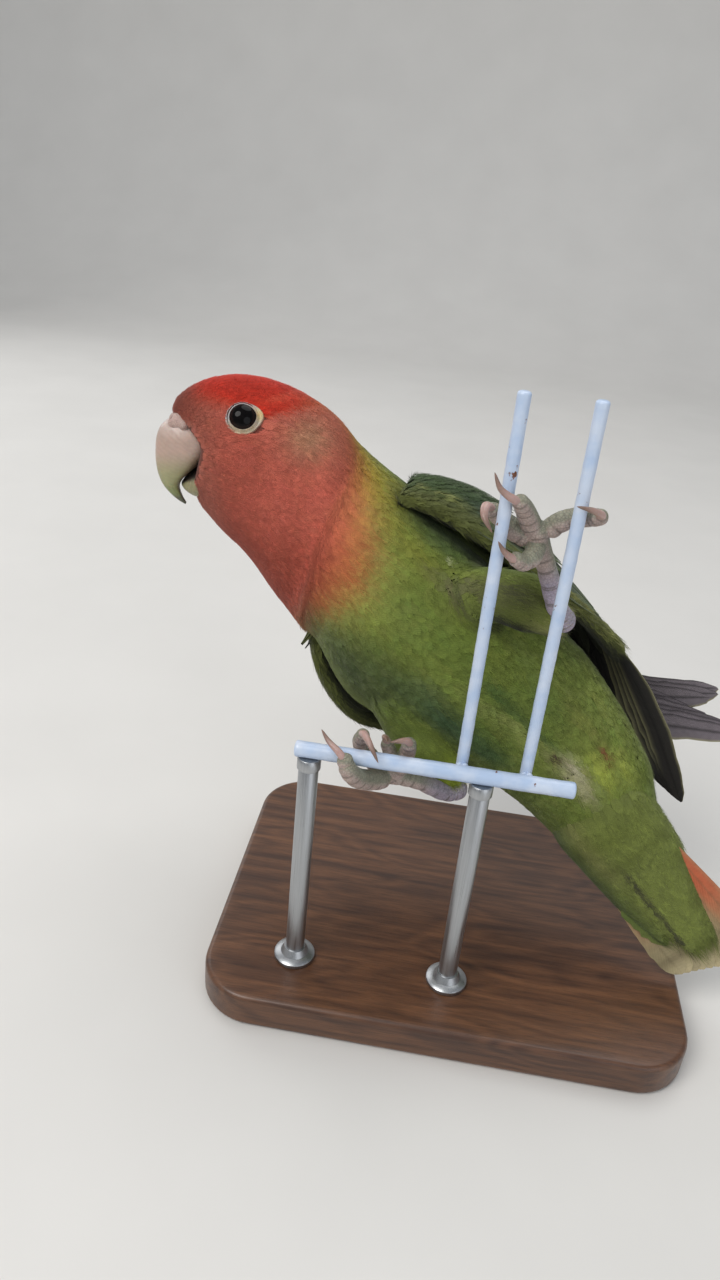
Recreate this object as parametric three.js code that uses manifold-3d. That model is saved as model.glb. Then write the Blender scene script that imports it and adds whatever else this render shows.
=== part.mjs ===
// A peach-faced lovebird, life size, clinging to a short piece of cage wire on a plain stand.
// Units are millimetres. +Z is up, +X runs to the right along the wires, +Y points away from them
// to the bird's back. The origin is the middle of the stand's underside.
import * as THREE from "three";
import { mergeVertices } from "three/addons/utils/BufferGeometryUtils.js";
import Module from "manifold-3d";

const wasm = await Module();
wasm.setup();

// Driving dimensions
const GAP = 0.3; // left between pieces that touch
const WIRE_Y = -22; // the plane of the upright wires' centres
const UPRIGHT_X = [-3.7, 8.6]; // the two upright wires that the left foot holds
const UPRIGHT_R = 1.15;
const CROSS_R = 1.6; // the cross wire that the right foot holds
const CROSS_Z = 62.3;
const CROSS_X = [-36, 18];
const UPRIGHT_TOP = 134;
const BASE_SIZE = { x: 104, y: 78, z: 8, corner: 12, bevel: 1.2 };
const ROD_R = 2;
const ROD_X = [-33, 0.5];
const EYE_R = 3.5;
const TOE_SIDES = 7;
const CLAW_SIDES = 6;
const BODY_SIDES = 24;
const NECK_FROM = 26;
const NECK_TO = 45;
const BODY_END = 125;

const rad = THREE.MathUtils.degToRad;
const lerp = THREE.MathUtils.lerp;
const clamp = THREE.MathUtils.clamp;
const V = (x, y, z) => new THREE.Vector3(x, y, z);

// Solids and meshes

// A manifold solid from a closed list of points and triangles, turned to face out.
function solidOf(points, faces) {
  const g = new THREE.BufferGeometry();
  g.setAttribute(
    "position",
    new THREE.BufferAttribute(new Float32Array(points.flatMap((p) => [p.x, p.y, p.z])), 3),
  );
  g.setIndex(faces);
  return solidOfGeometry(g);
}

function solidOfGeometry(geometry) {
  const bare = geometry.clone();
  bare.deleteAttribute("normal");
  bare.deleteAttribute("uv");
  const merged = mergeVertices(bare, 1e-5);
  const position = merged.attributes.position;
  const index = [...merged.index.array];
  let volume = 0;
  const [a, b, c] = [V(0, 0, 0), V(0, 0, 0), V(0, 0, 0)];
  for (let i = 0; i < index.length; i += 3) {
    a.fromBufferAttribute(position, index[i]);
    b.fromBufferAttribute(position, index[i + 1]);
    c.fromBufferAttribute(position, index[i + 2]);
    volume += a.dot(b.cross(c));
  }
  if (volume < 0) index.reverse();
  const mesh = new wasm.Mesh({
    numProp: 3,
    vertProperties: new Float32Array(position.array),
    triVerts: new Uint32Array(index),
  });
  return new wasm.Manifold(mesh);
}

function geometryOfSolid(solid) {
  const mesh = solid.getMesh();
  const xyz = new Float32Array(mesh.numVert * 3);
  for (let i = 0; i < mesh.numVert; i++)
    xyz.set(mesh.vertProperties.subarray(i * mesh.numProp, i * mesh.numProp + 3), i * 3);
  const g = new THREE.BufferGeometry();
  g.setAttribute("position", new THREE.BufferAttribute(xyz, 3));
  g.setIndex(new THREE.BufferAttribute(new Uint32Array(mesh.triVerts), 1));
  g.computeVertexNormals();
  return g;
}

// The largest closed surface of a solid: what a cut leaves loose is dropped.
function largest(solid) {
  return solid.decompose().sort((a, b) => b.volume() - a.volume())[0];
}

function union(solids) {
  return solids.reduce((sum, s) => sum.add(s));
}

// A closed skin over rings of points, each ring with the same count, capped at both ends.
function loft(rings) {
  const n = rings[0].length;
  const points = rings.flat();
  const faces = [];
  for (let i = 0; i < rings.length - 1; i++)
    for (let j = 0; j < n; j++) {
      const a = i * n + j;
      const b = i * n + ((j + 1) % n);
      faces.push(a, b, b + n, a, b + n, a + n);
    }
  const cap = (ring, first, flip) => {
    const middle = points.length;
    points.push(ring.reduce((m, p) => m.add(p), V(0, 0, 0)).multiplyScalar(1 / n));
    for (let j = 0; j < n; j++) {
      const a = first + j;
      const b = first + ((j + 1) % n);
      faces.push(...(flip ? [middle, b, a] : [middle, a, b]));
    }
  };
  cap(rings[0], 0, true);
  cap(rings.at(-1), (rings.length - 1) * n, false);
  return solidOf(points, faces);
}

// A closed plate between two sheets of points, with the same triangles on both.
function plate(top, bottom) {
  const rows = top.length;
  const cols = top[0].length;
  const half = rows * cols;
  const at = (i, j, low) => i * cols + j + (low ? half : 0);
  const faces = [];
  for (let i = 0; i < rows - 1; i++)
    for (let j = 0; j < cols - 1; j++) {
      const q = [at(i, j), at(i, j + 1), at(i + 1, j + 1), at(i + 1, j)];
      const outward = j < (cols - 1) / 2 ? [0, 1, 2, 0, 2, 3] : [0, 1, 3, 1, 2, 3];
      faces.push(...outward.map((k) => q[k]));
      faces.push(...[...outward].reverse().map((k) => q[k] + half));
    }
  const rim = [];
  for (let j = 0; j < cols; j++) rim.push([0, j]);
  for (let i = 1; i < rows; i++) rim.push([i, cols - 1]);
  for (let j = cols - 2; j >= 0; j--) rim.push([rows - 1, j]);
  for (let i = rows - 2; i > 0; i--) rim.push([i, 0]);
  rim.forEach(([i, j], k) => {
    const [m, n] = rim[(k + 1) % rim.length];
    faces.push(at(i, j, true), at(m, n, true), at(m, n), at(i, j, true), at(m, n), at(i, j));
  });
  return solidOf([...top.flat(), ...bottom.flat()], faces);
}

// Smooth steps between the rows of a table: a Catmull-Rom spline through each column.
function along(rows, key, u) {
  const at = (i) => rows[clamp(i, 0, rows.length - 1)];
  let i = 0;
  while (i < rows.length - 2 && at(i + 1).u < u) i++;
  const k = (u - at(i).u) / (at(i + 1).u - at(i).u);
  const slope = (j) => {
    const [p, q] = [at(j - 1), at(j + 1)];
    return (q[key] - p[key]) / (q.u - p.u);
  };
  const span = at(i + 1).u - at(i).u;
  const [h00, h10] = [2 * k ** 3 - 3 * k ** 2 + 1, k ** 3 - 2 * k ** 2 + k];
  const [h01, h11] = [-2 * k ** 3 + 3 * k ** 2, k ** 3 - k ** 2];
  if (k < 0) return at(i)[key] + slope(i) * (u - at(i).u);
  if (k > 1) return at(i + 1)[key] + slope(i + 1) * (u - at(i + 1).u);
  return h00 * at(i)[key] + h10 * span * slope(i) + h01 * at(i + 1)[key] + h11 * span * slope(i + 1);
}

// A tapered tube of round sections along a smooth line through points.
function tube(points, radii, sides, steps, flat = 1) {
  const curve = new THREE.CatmullRomCurve3(points, false, "centripetal");
  const frames = curve.computeFrenetFrames(steps);
  const rings = [];
  for (let i = 0; i <= steps; i++) {
    const k = i / steps;
    const middle = curve.getPointAt(k);
    const at = k * (radii.length - 1);
    const j = Math.min(Math.floor(at), radii.length - 2);
    const r = lerp(radii[j], radii[j + 1], at - j);
    rings.push(
      Array.from({ length: sides }, (_, m) => {
        const a = (2 * Math.PI * m) / sides;
        return middle
          .clone()
          .addScaledVector(frames.normals[i], r * Math.cos(a))
          .addScaledVector(frames.binormals[i], r * flat * Math.sin(a));
      }),
    );
  }
  return loft(rings);
}

function ball(centre, radius, wide = 16, high = 12) {
  const g = new THREE.SphereGeometry(radius, wide, high);
  g.translate(centre.x, centre.y, centre.z);
  return solidOfGeometry(g);
}

// The body's form. Each row is one section from the face to the root of the tail: its upper and
// lower points as the wires' side sees them, and how far it reaches to the front and the back.
// u counts millimetres along the body.
const HEAD_CENTRE = V(-56, 13, 107);
const HEAD_FORWARD = V(-0.9585, -0.263, -0.1104);
const HEAD_LEFT = V(0.2498, -0.9609, 0.1198);
const HEAD_UP = V(-0.1376, 0.0872, 0.9866);

// A point of the head, from millimetres forward, up and to its left.
function headPoint(forward, up, left = 0) {
  return HEAD_CENTRE.clone()
    .addScaledVector(HEAD_FORWARD, forward)
    .addScaledVector(HEAD_UP, up)
    .addScaledVector(HEAD_LEFT, left);
}

function section(u, top, bottom, front, back) {
  const [tx, ty, tz, bx, by, bz] = [...top.toArray(), ...bottom.toArray()];
  return { u, tx, ty, tz, bx, by, bz, front, back };
}

const BODY = [
  section(0, headPoint(15.2, 9.3), headPoint(11.2, -6.2), 3.8, 3.8),
  section(2.5, headPoint(13.9, 12.5), headPoint(10.9, -9.2), 5.0, 5.0),
  section(6, headPoint(10.6, 14.9), headPoint(8.9, -12.4), 7.4, 7.4),
  section(10.5, headPoint(6.0, 16.4), headPoint(6.2, -16.0), 10.9, 10.9),
  section(16, headPoint(0.2, 16.7), headPoint(3.4, -19.2), 12.8, 12.8),
  section(22, headPoint(-6.0, 15.4), headPoint(0.4, -23.6), 13.6, 13.6),
  section(28.5, headPoint(-12.4, 12.4), headPoint(-2.4, -28.8), 14.8, 14.8),
  section(35.5, headPoint(-18.8, 7.6), headPoint(-5.4, -33.8), 16.4, 16),
  section(43, headPoint(-24.6, 0.4), headPoint(-8.6, -38.8), 18.2, 17),
  section(53, V(-19.8, 13.6, 103.4), V(-37.5, 12, 68.5), 20, 18.5),
  section(66, V(-5.7, 10, 95.6), V(-29.0, 10, 57.5), 21.5, 19.5),
  section(82, V(9.7, 8, 83.2), V(-10.5, 8, 49.5), 21, 19),
  section(98, V(23.4, 5, 70.6), V(5.0, 5, 43.0), 17.5, 16),
  section(113, V(35.0, 0.5, 56.4), V(16.2, 0.5, 36.5), 12.8, 12),
  section(125, V(41.5, -4, 44.5), V(25.9, -4, 29.7), 9.0, 8.4),
];

const HEADING = 5; // how far along the body its direction is taken from

// A point on the body at u along it and angle a round it, h outside it. Angle 0 faces the wires,
// 90 degrees is the upper side, 180 degrees faces away from the wires.
function formPoint(rows, u, a, h = 0) {
  const top = V(along(rows, "tx", u), along(rows, "ty", u), along(rows, "tz", u));
  const bottom = V(along(rows, "bx", u), along(rows, "by", u), along(rows, "bz", u));
  const middle = (v) =>
    V(
      (along(rows, "tx", v) + along(rows, "bx", v)) / 2,
      (along(rows, "ty", v) + along(rows, "by", v)) / 2,
      (along(rows, "tz", v) + along(rows, "bz", v)) / 2,
    );
  const upward = top.clone().sub(bottom).multiplyScalar(0.5);
  const headward = middle(u - HEADING).sub(middle(u + HEADING));
  const frontward = upward.clone().cross(headward).normalize();
  if (frontward.y > 0) frontward.negate();
  const reach = along(rows, Math.cos(a) >= 0 ? "front" : "back", u);
  const half = upward.length();
  upward.normalize();
  return middle(u)
    .addScaledVector(frontward, (reach + h) * Math.cos(a))
    .addScaledVector(upward, (half + h) * Math.sin(a));
}

function bodyRing(rows, u, h = 0, sides = BODY_SIDES) {
  return Array.from({ length: sides }, (_, j) =>
    formPoint(rows, u, (2 * Math.PI * j) / sides, h),
  );
}

// The part of the body from one u to another, with rounded ends where they are asked for.
function bodyPiece(rows, from, to, steps, h = 0) {
  const rings = [];
  for (let i = 0; i <= steps; i++) rings.push(bodyRing(rows, lerp(from, to, i / steps), h));
  return loft(rings);
}

// A copy of a solid with its surface moved out by a distance, to cut room for it in a neighbour.
function grown(solid, by = GAP) {
  const g = geometryOfSolid(solid);
  const { position, normal } = g.attributes;
  for (let i = 0; i < position.count; i++)
    position.setXYZ(
      i,
      position.getX(i) + normal.getX(i) * by,
      position.getY(i) + normal.getY(i) * by,
      position.getZ(i) + normal.getZ(i) * by,
    );
  return solidOfGeometry(g);
}

// A straight bar with a small bevel at both ends.
function bar(from, to, radius, sides = 16, bevel = 0.3) {
  const way = to.clone().sub(from);
  const length = way.length();
  way.normalize();
  const across = Math.abs(way.z) > 0.9 ? V(1, 0, 0) : V(0, 0, 1);
  const side = across.clone().cross(way).normalize();
  const other = way.clone().cross(side);
  const ring = (d, r) =>
    Array.from({ length: sides }, (_, j) => {
      const a = (2 * Math.PI * j) / sides;
      return from
        .clone()
        .addScaledVector(way, d)
        .addScaledVector(side, r * Math.cos(a))
        .addScaledVector(other, r * Math.sin(a));
    });
  return loft([
    ring(0, radius - bevel),
    ring(bevel, radius),
    ring(length - bevel, radius),
    ring(length, radius - bevel),
  ]);
}

// Feathered surfaces: a grid of guide points, rows from root to tip and columns from the outer
// edge to the inner one. s runs along, t across, h is the height over the surface.
function spline(values, k) {
  const last = values.length - 1;
  const x = k * last;
  const i = clamp(Math.floor(x), 0, last - 1);
  const at = (j) => values[clamp(j, 0, last)];
  const slope = (j) => (j <= 0 || j >= last ? at(j + 1) - at(j - 1) : (at(j + 1) - at(j - 1)) / 2);
  const f = x - i;
  if (f < 0) return at(i) + slope(i) * f;
  if (f > 1) return at(i + 1) + slope(i + 1) * (f - 1);
  return (
    (2 * f ** 3 - 3 * f ** 2 + 1) * at(i) +
    (f ** 3 - 2 * f ** 2 + f) * slope(i) +
    (-2 * f ** 3 + 3 * f ** 2) * at(i + 1) +
    (f ** 3 - f ** 2) * slope(i + 1)
  );
}

function splinePoint(points, k) {
  return V(
    spline(points.map((p) => p.x), k),
    spline(points.map((p) => p.y), k),
    spline(points.map((p) => p.z), k),
  );
}

function sheet(grid, flip = 1) {
  const flat = (s, t) => splinePoint(grid.map((row) => splinePoint(row, t)), s);
  const e = 0.02;
  return (s, t, h = 0) => {
    const ds = flat(s + e, t).sub(flat(s - e, t));
    const dt = flat(s, t + e).sub(flat(s, t - e));
    const normal = ds.clone().cross(dt).normalize().multiplyScalar(flip);
    return {
      point: flat(s, t).addScaledVector(normal, h),
      along: ds.length() / (2 * e),
      across: dt.length() / (2 * e),
    };
  };
}

// A plate that follows a sheet over a range of s and t.
function sheetPlate(surface, [s0, s1], [t0, t1], rows, cols, top, thickness, trim = () => 1) {
  const grid = (low) =>
    Array.from({ length: rows + 1 }, (_, i) => {
      const s = lerp(s0, s1, i / rows);
      const middle = (t0 + t1) / 2;
      return Array.from({ length: cols + 1 }, (_, j) => {
        const t = middle + (lerp(t0, t1, j / cols) - middle) * trim(i / rows);
        return surface(s, t, top(s, t) - (low ? thickness(s) : 0)).point;
      });
    });
  return plate(grid(false), grid(true));
}

// One feather: a thin plate along a path of s and t, with a rounded end.
function vane(surface, path, half, thick, rise, options = {}) {
  const { rows = 4, roll = 0, taper = 0.75, blunt = 0.5, camber = 0.15, ridge = true } = options;
  const across = ridge ? [-1, 0, 1] : [-1, 1];
  const guide = path.map(([s, t]) => V(s, t, 0));
  const top = [];
  const bottom = [];
  for (let i = 0; i <= rows; i++) {
    const k = i / rows;
    const at = splinePoint(guide, k);
    const ahead = splinePoint(guide, k + 0.05).sub(splinePoint(guide, k - 0.05));
    const { along: ls, across: lt } = surface(at.x, at.y);
    const run = Math.hypot(ahead.x * ls, ahead.y * lt);
    const [ps, pt] = [(-ahead.y * lt) / run / ls, (ahead.x * ls) / run / lt];
    const round = Math.sqrt(Math.max(0, 1 - Math.max(0, (k - blunt) / (1 - blunt)) ** 2.4));
    const w = half * lerp(taper, 1, Math.min(1, k * 2)) * Math.max(round, 0.22);
    const lift = lerp(rise[0], rise[1], k);
    const cell = (c, low) => {
      const h = lift + roll * c * w - camber * Math.abs(c) * w * 0.3 - (low ? thick : 0);
      return surface(at.x + ps * c * w, at.y + pt * c * w, h).point;
    };
    top.push(across.map((c) => cell(c, false)));
    bottom.push(across.map((c) => cell(c, true)));
  }
  return plate(top, bottom);
}

const group = new THREE.Group();
const made = {};

function add(name, solid, colour, roughness = 0.8, metalness = 0) {
  const whole = largest(solid);
  made[name] = whole;
  const mesh = new THREE.Mesh(
    geometryOfSolid(whole),
    new THREE.MeshStandardMaterial({ color: colour, roughness, metalness }),
  );
  mesh.name = name;
  group.add(mesh);
}

// The perch and its stand
const CROSS_Y = WIRE_Y - UPRIGHT_R - CROSS_R - GAP;
const crossWire = bar(V(CROSS_X[0], CROSS_Y, CROSS_Z), V(CROSS_X[1], CROSS_Y, CROSS_Z), CROSS_R);
const uprights = UPRIGHT_X.map((x) =>
  bar(V(x, WIRE_Y, CROSS_Z - CROSS_R), V(x, WIRE_Y, UPRIGHT_TOP), UPRIGHT_R, 12, 0.2),
);
add("perch_cross_wire", crossWire, 0xc9d6e6, 0.4, 0.2);
add("perch_upright_left", uprights[0], 0xc9d6e6, 0.4, 0.2);
add("perch_upright_right", uprights[1], 0xc9d6e6, 0.4, 0.2);

function standBase({ x, y, z, corner, bevel }) {
  const ring = (height, inset) => {
    const points = [];
    for (let quarter = 0; quarter < 4; quarter++)
      for (let k = 0; k <= 5; k++) {
        const a = ((quarter + k / 5) * Math.PI) / 2;
        const sx = quarter === 0 || quarter === 3 ? 1 : -1;
        const sy = quarter < 2 ? 1 : -1;
        points.push(
          V(
            sx * (x / 2 - corner) + (corner - inset) * Math.cos(a),
            sy * (y / 2 - corner) + (corner - inset) * Math.sin(a),
            height,
          ),
        );
      }
    return points;
  };
  return loft([ring(0, bevel), ring(bevel, 0), ring(z - bevel, 0), ring(z, bevel)]);
}

add("stand_base", standBase(BASE_SIZE), 0x6b4a33, 0.6);
["left", "right"].forEach((side, i) => {
  const foot = V(ROD_X[i], CROSS_Y, BASE_SIZE.z + GAP);
  const head = V(ROD_X[i], CROSS_Y, CROSS_Z - CROSS_R - GAP);
  add(`stand_rod_${side}`, bar(foot, head, ROD_R), 0x9aa0a6, 0.35, 0.9);
});
const wires = union([crossWire, ...uprights].map((s) => grown(s)));

// Head, beak and eyes
const BEAK_FLATNESS = 0.7; // under 1 makes the sheath's sides flatter than an oval's

function beakLoft(rows, sides) {
  return loft(
    rows.map(([of, ou, f, u, half]) => {
      const outer = V(of, ou, 0);
      const inner = V(f, u, 0);
      const middle = outer.clone().add(inner).multiplyScalar(0.5);
      const reach = outer.clone().sub(middle);
      return Array.from({ length: sides }, (_, j) => {
        const a = (2 * Math.PI * j) / sides;
        const p = middle.clone().addScaledVector(reach, Math.cos(a));
        const side = Math.sign(Math.sin(a)) * Math.abs(Math.sin(a)) ** BEAK_FLATNESS;
        return headPoint(p.x, p.y, half * side * (1 - 0.18 * Math.cos(a)));
      });
    }),
  );
}

// Each row: outer edge forward and up, inner edge forward and up, half width.
const UPPER_BEAK = [
  [12.6, 8.9, 6.6, 2.2, 4.7],
  [15.2, 8.8, 7.8, 1.2, 5.2],
  [17.4, 7.3, 9.2, 0.2, 5.2],
  [18.5, 5.2, 10.4, -0.8, 4.9],
  [19.0, 2.6, 11.6, -1.8, 4.4],
  [19.2, 0.0, 12.9, -2.8, 3.7],
  [19.0, -2.4, 14.1, -3.8, 3.0],
  [18.3, -4.7, 14.8, -4.9, 2.2],
  [17.0, -6.7, 14.9, -6.0, 1.5],
  [15.6, -8.2, 14.5, -7.6, 0.9],
  [14.2, -9.3, 13.9, -8.9, 0.25],
];
const LOWER_BEAK = [
  [8.0, -0.6, 8.4, -7.4, 4.2],
  [10.2, -1.0, 11.2, -7.6, 4.3],
  [11.8, -2.0, 12.8, -6.9, 3.7],
  [13.3, -3.2, 13.9, -5.9, 2.7],
  [14.4, -4.4, 14.4, -5.1, 1.4],
];
const beakUpper = beakLoft(UPPER_BEAK, 10);
const beakLower = largest(beakLoft(LOWER_BEAK, 8).subtract(grown(beakUpper)));

const EYE = { forward: 0.7, up: 8.5, out: 8.3 };
const eyes = [1, -1].map((side) =>
  ball(headPoint(EYE.forward, EYE.up, side * EYE.out), EYE_R, 12, 7),
);

// The ring of bare skin round an eye, and the rim of the lids. It leans in at its top, as the
// side of the head does.
const RING = { r: 2.95, tube: 0.62, ahead: -0.1, above: 2.45, lean: rad(24) };

function eyeRing(side) {
  const g = new THREE.TorusGeometry(RING.r, RING.tube, 4, 14);
  g.scale(1.08, 1, 1);
  const [c, s] = [Math.cos(RING.lean), Math.sin(RING.lean)];
  const sideways = HEAD_LEFT.clone().multiplyScalar(side);
  const out = sideways.clone().multiplyScalar(c).addScaledVector(HEAD_UP, s);
  const rise = HEAD_UP.clone().multiplyScalar(c).addScaledVector(sideways, -s);
  const frame = new THREE.Matrix4().makeBasis(HEAD_FORWARD.clone().multiplyScalar(side), rise, out);
  const eye = headPoint(EYE.forward + RING.ahead, EYE.up, side * EYE.out);
  frame.setPosition(eye.addScaledVector(out, RING.above));
  g.applyMatrix4(frame);
  return solidOfGeometry(g);
}

function cere(side) {
  const pad = ball(headPoint(14.0, 8.2, side * 2.2), 2.1, 8, 5);
  return pad.subtract(ball(headPoint(15.7, 9.4, side * 2.5), 0.7, 6, 4));
}

// Where the feathers of the face end and the bill stands bare, forward and up.
const FACE_EDGE = [
  [14.6, 8.9],
  [12.4, 7.8],
  [10.0, 4.6],
  [9.6, 2.4],
  [10.6, -0.6],
  [11.6, -3.2],
  [13.4, -5.6],
];

// The room in front of the face's edge, as wide as the head.
function billRoom() {
  const front = 22;
  const wide = 14;
  const outline = [...FACE_EDGE, [front, -5.6], [front, 8.9]];
  return loft([-wide, wide].map((left) => outline.map(([f, u]) => headPoint(f, u, left))));
}

const headForm = bodyPiece(BODY, 0, NECK_FROM - GAP / 2, 10).subtract(billRoom());
const headSolid = union([headForm, eyeRing(1), eyeRing(-1), cere(1), cere(-1)])
  .subtract(union([...eyes, beakUpper, beakLower].map((s) => grown(s))));
add("head", headSolid, 0xb5463a);
add("beak_upper", beakUpper, 0xe6cbb4, 0.35);
add("beak_lower", beakLower, 0xdcc0a8, 0.4);
add("eye_left", eyes[0], 0x16100d, 0.05);
add("eye_right", eyes[1], 0x16100d, 0.05);

// Neck and torso
add("neck", bodyPiece(BODY, NECK_FROM + GAP / 2, NECK_TO - GAP / 2, 5), 0xc05a40);
const torsoForm = bodyPiece(BODY, NECK_TO + GAP / 2, BODY_END, 14);
add("torso", torsoForm, 0x7f9a2f);
const bodyRoom = union([
  bodyPiece(BODY, NECK_FROM, NECK_TO + 1, 8, GAP),
  bodyPiece(BODY, NECK_TO, BODY_END + GAP, 14, GAP),
]);

// Tail
const TAIL_ROOT = V(33, -3.6, 38.6);
const TAIL_TIP = V(60.4, -13.5, 14.4);
const TAIL_WAY = TAIL_TIP.clone().sub(TAIL_ROOT).normalize();
const TAIL_BACK = V(0.2, 0.965, -0.18);
const TAIL_LEFT = TAIL_BACK.clone().cross(TAIL_WAY).normalize();
TAIL_BACK.copy(TAIL_WAY).cross(TAIL_LEFT).normalize();
const TAIL_LENGTH = TAIL_ROOT.distanceTo(TAIL_TIP);
const TAIL_ROWS = [
  { k: 0, half: 8.6, arch: 1.6 },
  { k: 0.35, half: 9.6, arch: 1.4 },
  { k: 0.7, half: 10.0, arch: 1.1 },
  { k: 1, half: 9.2, arch: 0.9 },
];
const tailSheet = sheet(
  TAIL_ROWS.map(({ k, half, arch }) =>
    [-1, -0.34, 0.34, 1].map((c) =>
      TAIL_ROOT.clone()
        .addScaledVector(TAIL_WAY, k * TAIL_LENGTH)
        .addScaledVector(TAIL_LEFT, c * half)
        .addScaledVector(TAIL_BACK, -arch * c * c),
    ),
  ),
  1,
);

const tailParts = [
  sheetPlate(
    tailSheet,
    [-0.16, 0.8],
    [0.0, 1.0],
    6,
    6,
    (s) => lerp(3.8, 0.4, clamp(s / 0.6, 0, 1)),
    (s) => lerp(8.0, 1.2, clamp(s / 0.6, 0, 1)),
    (k) => 1 - 0.25 * Math.max(0, (k - 0.75) / 0.25),
  ),
];
// Six pairs of tail feathers: the outer ones lie under the inner ones and end a little sooner.
for (const side of [-1, 1])
  for (let m = 0; m < 6; m++) {
    const out = 0.42 - 0.076 * m;
    const path = [0.2, 0.6, 0.9 + 0.02 * m].map((s) => [s, 0.5 + side * out]);
    const height = -0.75 + 0.27 * m + (side > 0 ? 0.1 : 0);
    const shape = { blunt: 0.7, ridge: false, rows: 3 };
    tailParts.push(vane(tailSheet, path, 2.7, 0.8, [height, height], shape));
  }
// Coverts under the tail, each as [end, across, half width], and over it.
const UNDER_TAIL = [
  [0.82, 0.66, 3.8],
  [0.66, 0.33, 3.8],
  [0.46, 0.84, 3.2],
  [0.4, 0.14, 3.2],
  [0.3, 0.5, 3.4],
];
UNDER_TAIL.forEach(([end, t, half], i) => {
  const path = [[-0.1, 0.5 + (t - 0.5) * 0.8], [end / 2, t], [end, t]];
  const drop = -1.0 - 0.35 * i;
  tailParts.push(vane(tailSheet, path, half, 1.1, [-3.6, drop + 0.5], { camber: -0.5, rows: 3 }));
});
[0.15, 0.5, 0.85].forEach((t, i) => {
  const path = [[-0.05, 0.5 + (t - 0.5) * 0.8], [0.2, t], [0.44 + 0.06 * (i % 2), t]];
  tailParts.push(vane(tailSheet, path, 3.6, 1.0, [3.9, 1.6], { ridge: false, rows: 3 }));
});
add("tail", union(tailParts).subtract(bodyRoom), 0x8a9a3a);

// Legs: the feathered thighs, the scaly shanks with the balls of the feet, toes and claws
const LEGS = {
  left: {
    thigh: [V(-13, 4, 82), V(-5.0, -2.6, 90.0), V(3.4, -8.4, 92.0), V(10.4, -11.3, 90.4)],
    shank: [V(10.8, -11.8, 91.0), V(8.9, -13.4, 94.6), V(5.6, -15.6, 102.6), V(3.3, -17.2, 107.4),
      V(2.6, -17.9, 109.6)],
    toes: [
      {
        line: [V(3.0, -17.6, 107.6), V(2.4, -20.2, 106.0), V(0.9, -21.9, 105.3), V(-0.5, -23.2, 106.2)],
        claw: [V(0.3, -22.6, 105.6), V(-1.4, -24.0, 106.6), V(-2.9, -25.0, 108.0), V(-4.1, -25.0, 109.6)],
        thick: [1.7, 1.5, 1.15],
      },
      {
        line: [V(2.2, -17.9, 109.6), V(0.9, -19.2, 112.0), V(-0.5, -21.5, 114.7), V(-1.5, -24.0, 116.5)],
        claw: [V(-1.0, -23.2, 116.0), V(-3.0, -25.2, 117.3), V(-5.2, -25.7, 118.9), V(-6.5, -24.9, 121.2)],
        thick: [1.75, 1.6, 1.25],
      },
      {
        line: [V(1.6, -17.4, 108.2), V(-1.0, -17.8, 109.2), V(-3.6, -17.9, 111.0), V(-5.5, -18.8, 112.8)],
        claw: [V(-4.9, -18.5, 112.4), V(-6.7, -20.3, 113.9), V(-6.9, -22.8, 112.8), V(-5.3, -24.6, 110.8)],
        thick: [1.8, 1.65, 1.25],
      },
      {
        line: [V(4.0, -17.6, 109.6), V(6.2, -18.0, 112.0), V(8.8, -18.1, 113.2), V(11.3, -19.3, 114.0),
          V(12.0, -21.4, 114.9)],
        claw: [V(12.0, -20.8, 114.6), V(11.7, -23.2, 115.9), V(9.8, -25.0, 117.0), V(7.4, -25.3, 117.4)],
        thick: [1.75, 1.6, 1.25],
      },
    ],
  },
  right: {
    thigh: [V(-22, 3, 66), V(-17.0, -4.5, 61.0), V(-10.5, -9.2, 55.4), V(-4.8, -11.8, 50.8)],
    shank: [V(-3.6, -12.4, 49.6), V(-6.0, -14.6, 50.0), V(-11.2, -17.4, 53.6), V(-15.6, -18.6, 55.2),
      V(-18.2, -19.2, 55.4)],
    toes: [
      {
        line: [V(-17.6, -19.4, 55.6), V(-17.4, -19.3, 58.4), V(-17.9, -19.5, 61.0), V(-18.6, -20.4, 63.2)],
        claw: [V(-18.4, -20.0, 62.6), V(-18.9, -21.0, 64.8), V(-19.0, -22.8, 66.2), V(-18.4, -24.6, 66.6)],
        thick: [1.6, 1.4, 1.1],
      },
      {
        line: [V(-18.0, -19.6, 54.9), V(-20.2, -22.6, 56.0), V(-22.8, -26.6, 58.6), V(-24.6, -29.0, 61.6),
          V(-25.6, -29.2, 64.0)],
        claw: [V(-25.3, -29.2, 63.2), V(-26.8, -29.3, 65.6), V(-29.2, -28.0, 67.0), V(-31.0, -25.9, 68.0)],
        thick: [2.0, 1.85, 1.4],
      },
      {
        line: [V(-18.8, -19.0, 55.8), V(-21.6, -19.2, 58.8), V(-23.8, -19.7, 62.2), V(-23.4, -21.9, 65.4)],
        claw: [V(-23.5, -21.2, 64.8), V(-22.9, -24.2, 67.2), V(-21.2, -27.2, 66.6), V(-19.4, -28.9, 64.4)],
        thick: [1.8, 1.65, 1.25],
      },
      {
        line: [V(-16.8, -19.2, 55.6), V(-15.2, -19.4, 58.6), V(-14.4, -19.8, 62.0), V(-14.3, -22.0, 65.0)],
        claw: [V(-14.3, -21.2, 64.4), V(-14.6, -23.8, 66.8), V(-16.0, -25.6, 67.8), V(-17.8, -26.2, 67.6)],
        thick: [1.75, 1.6, 1.3],
      },
    ],
  },
};

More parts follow.
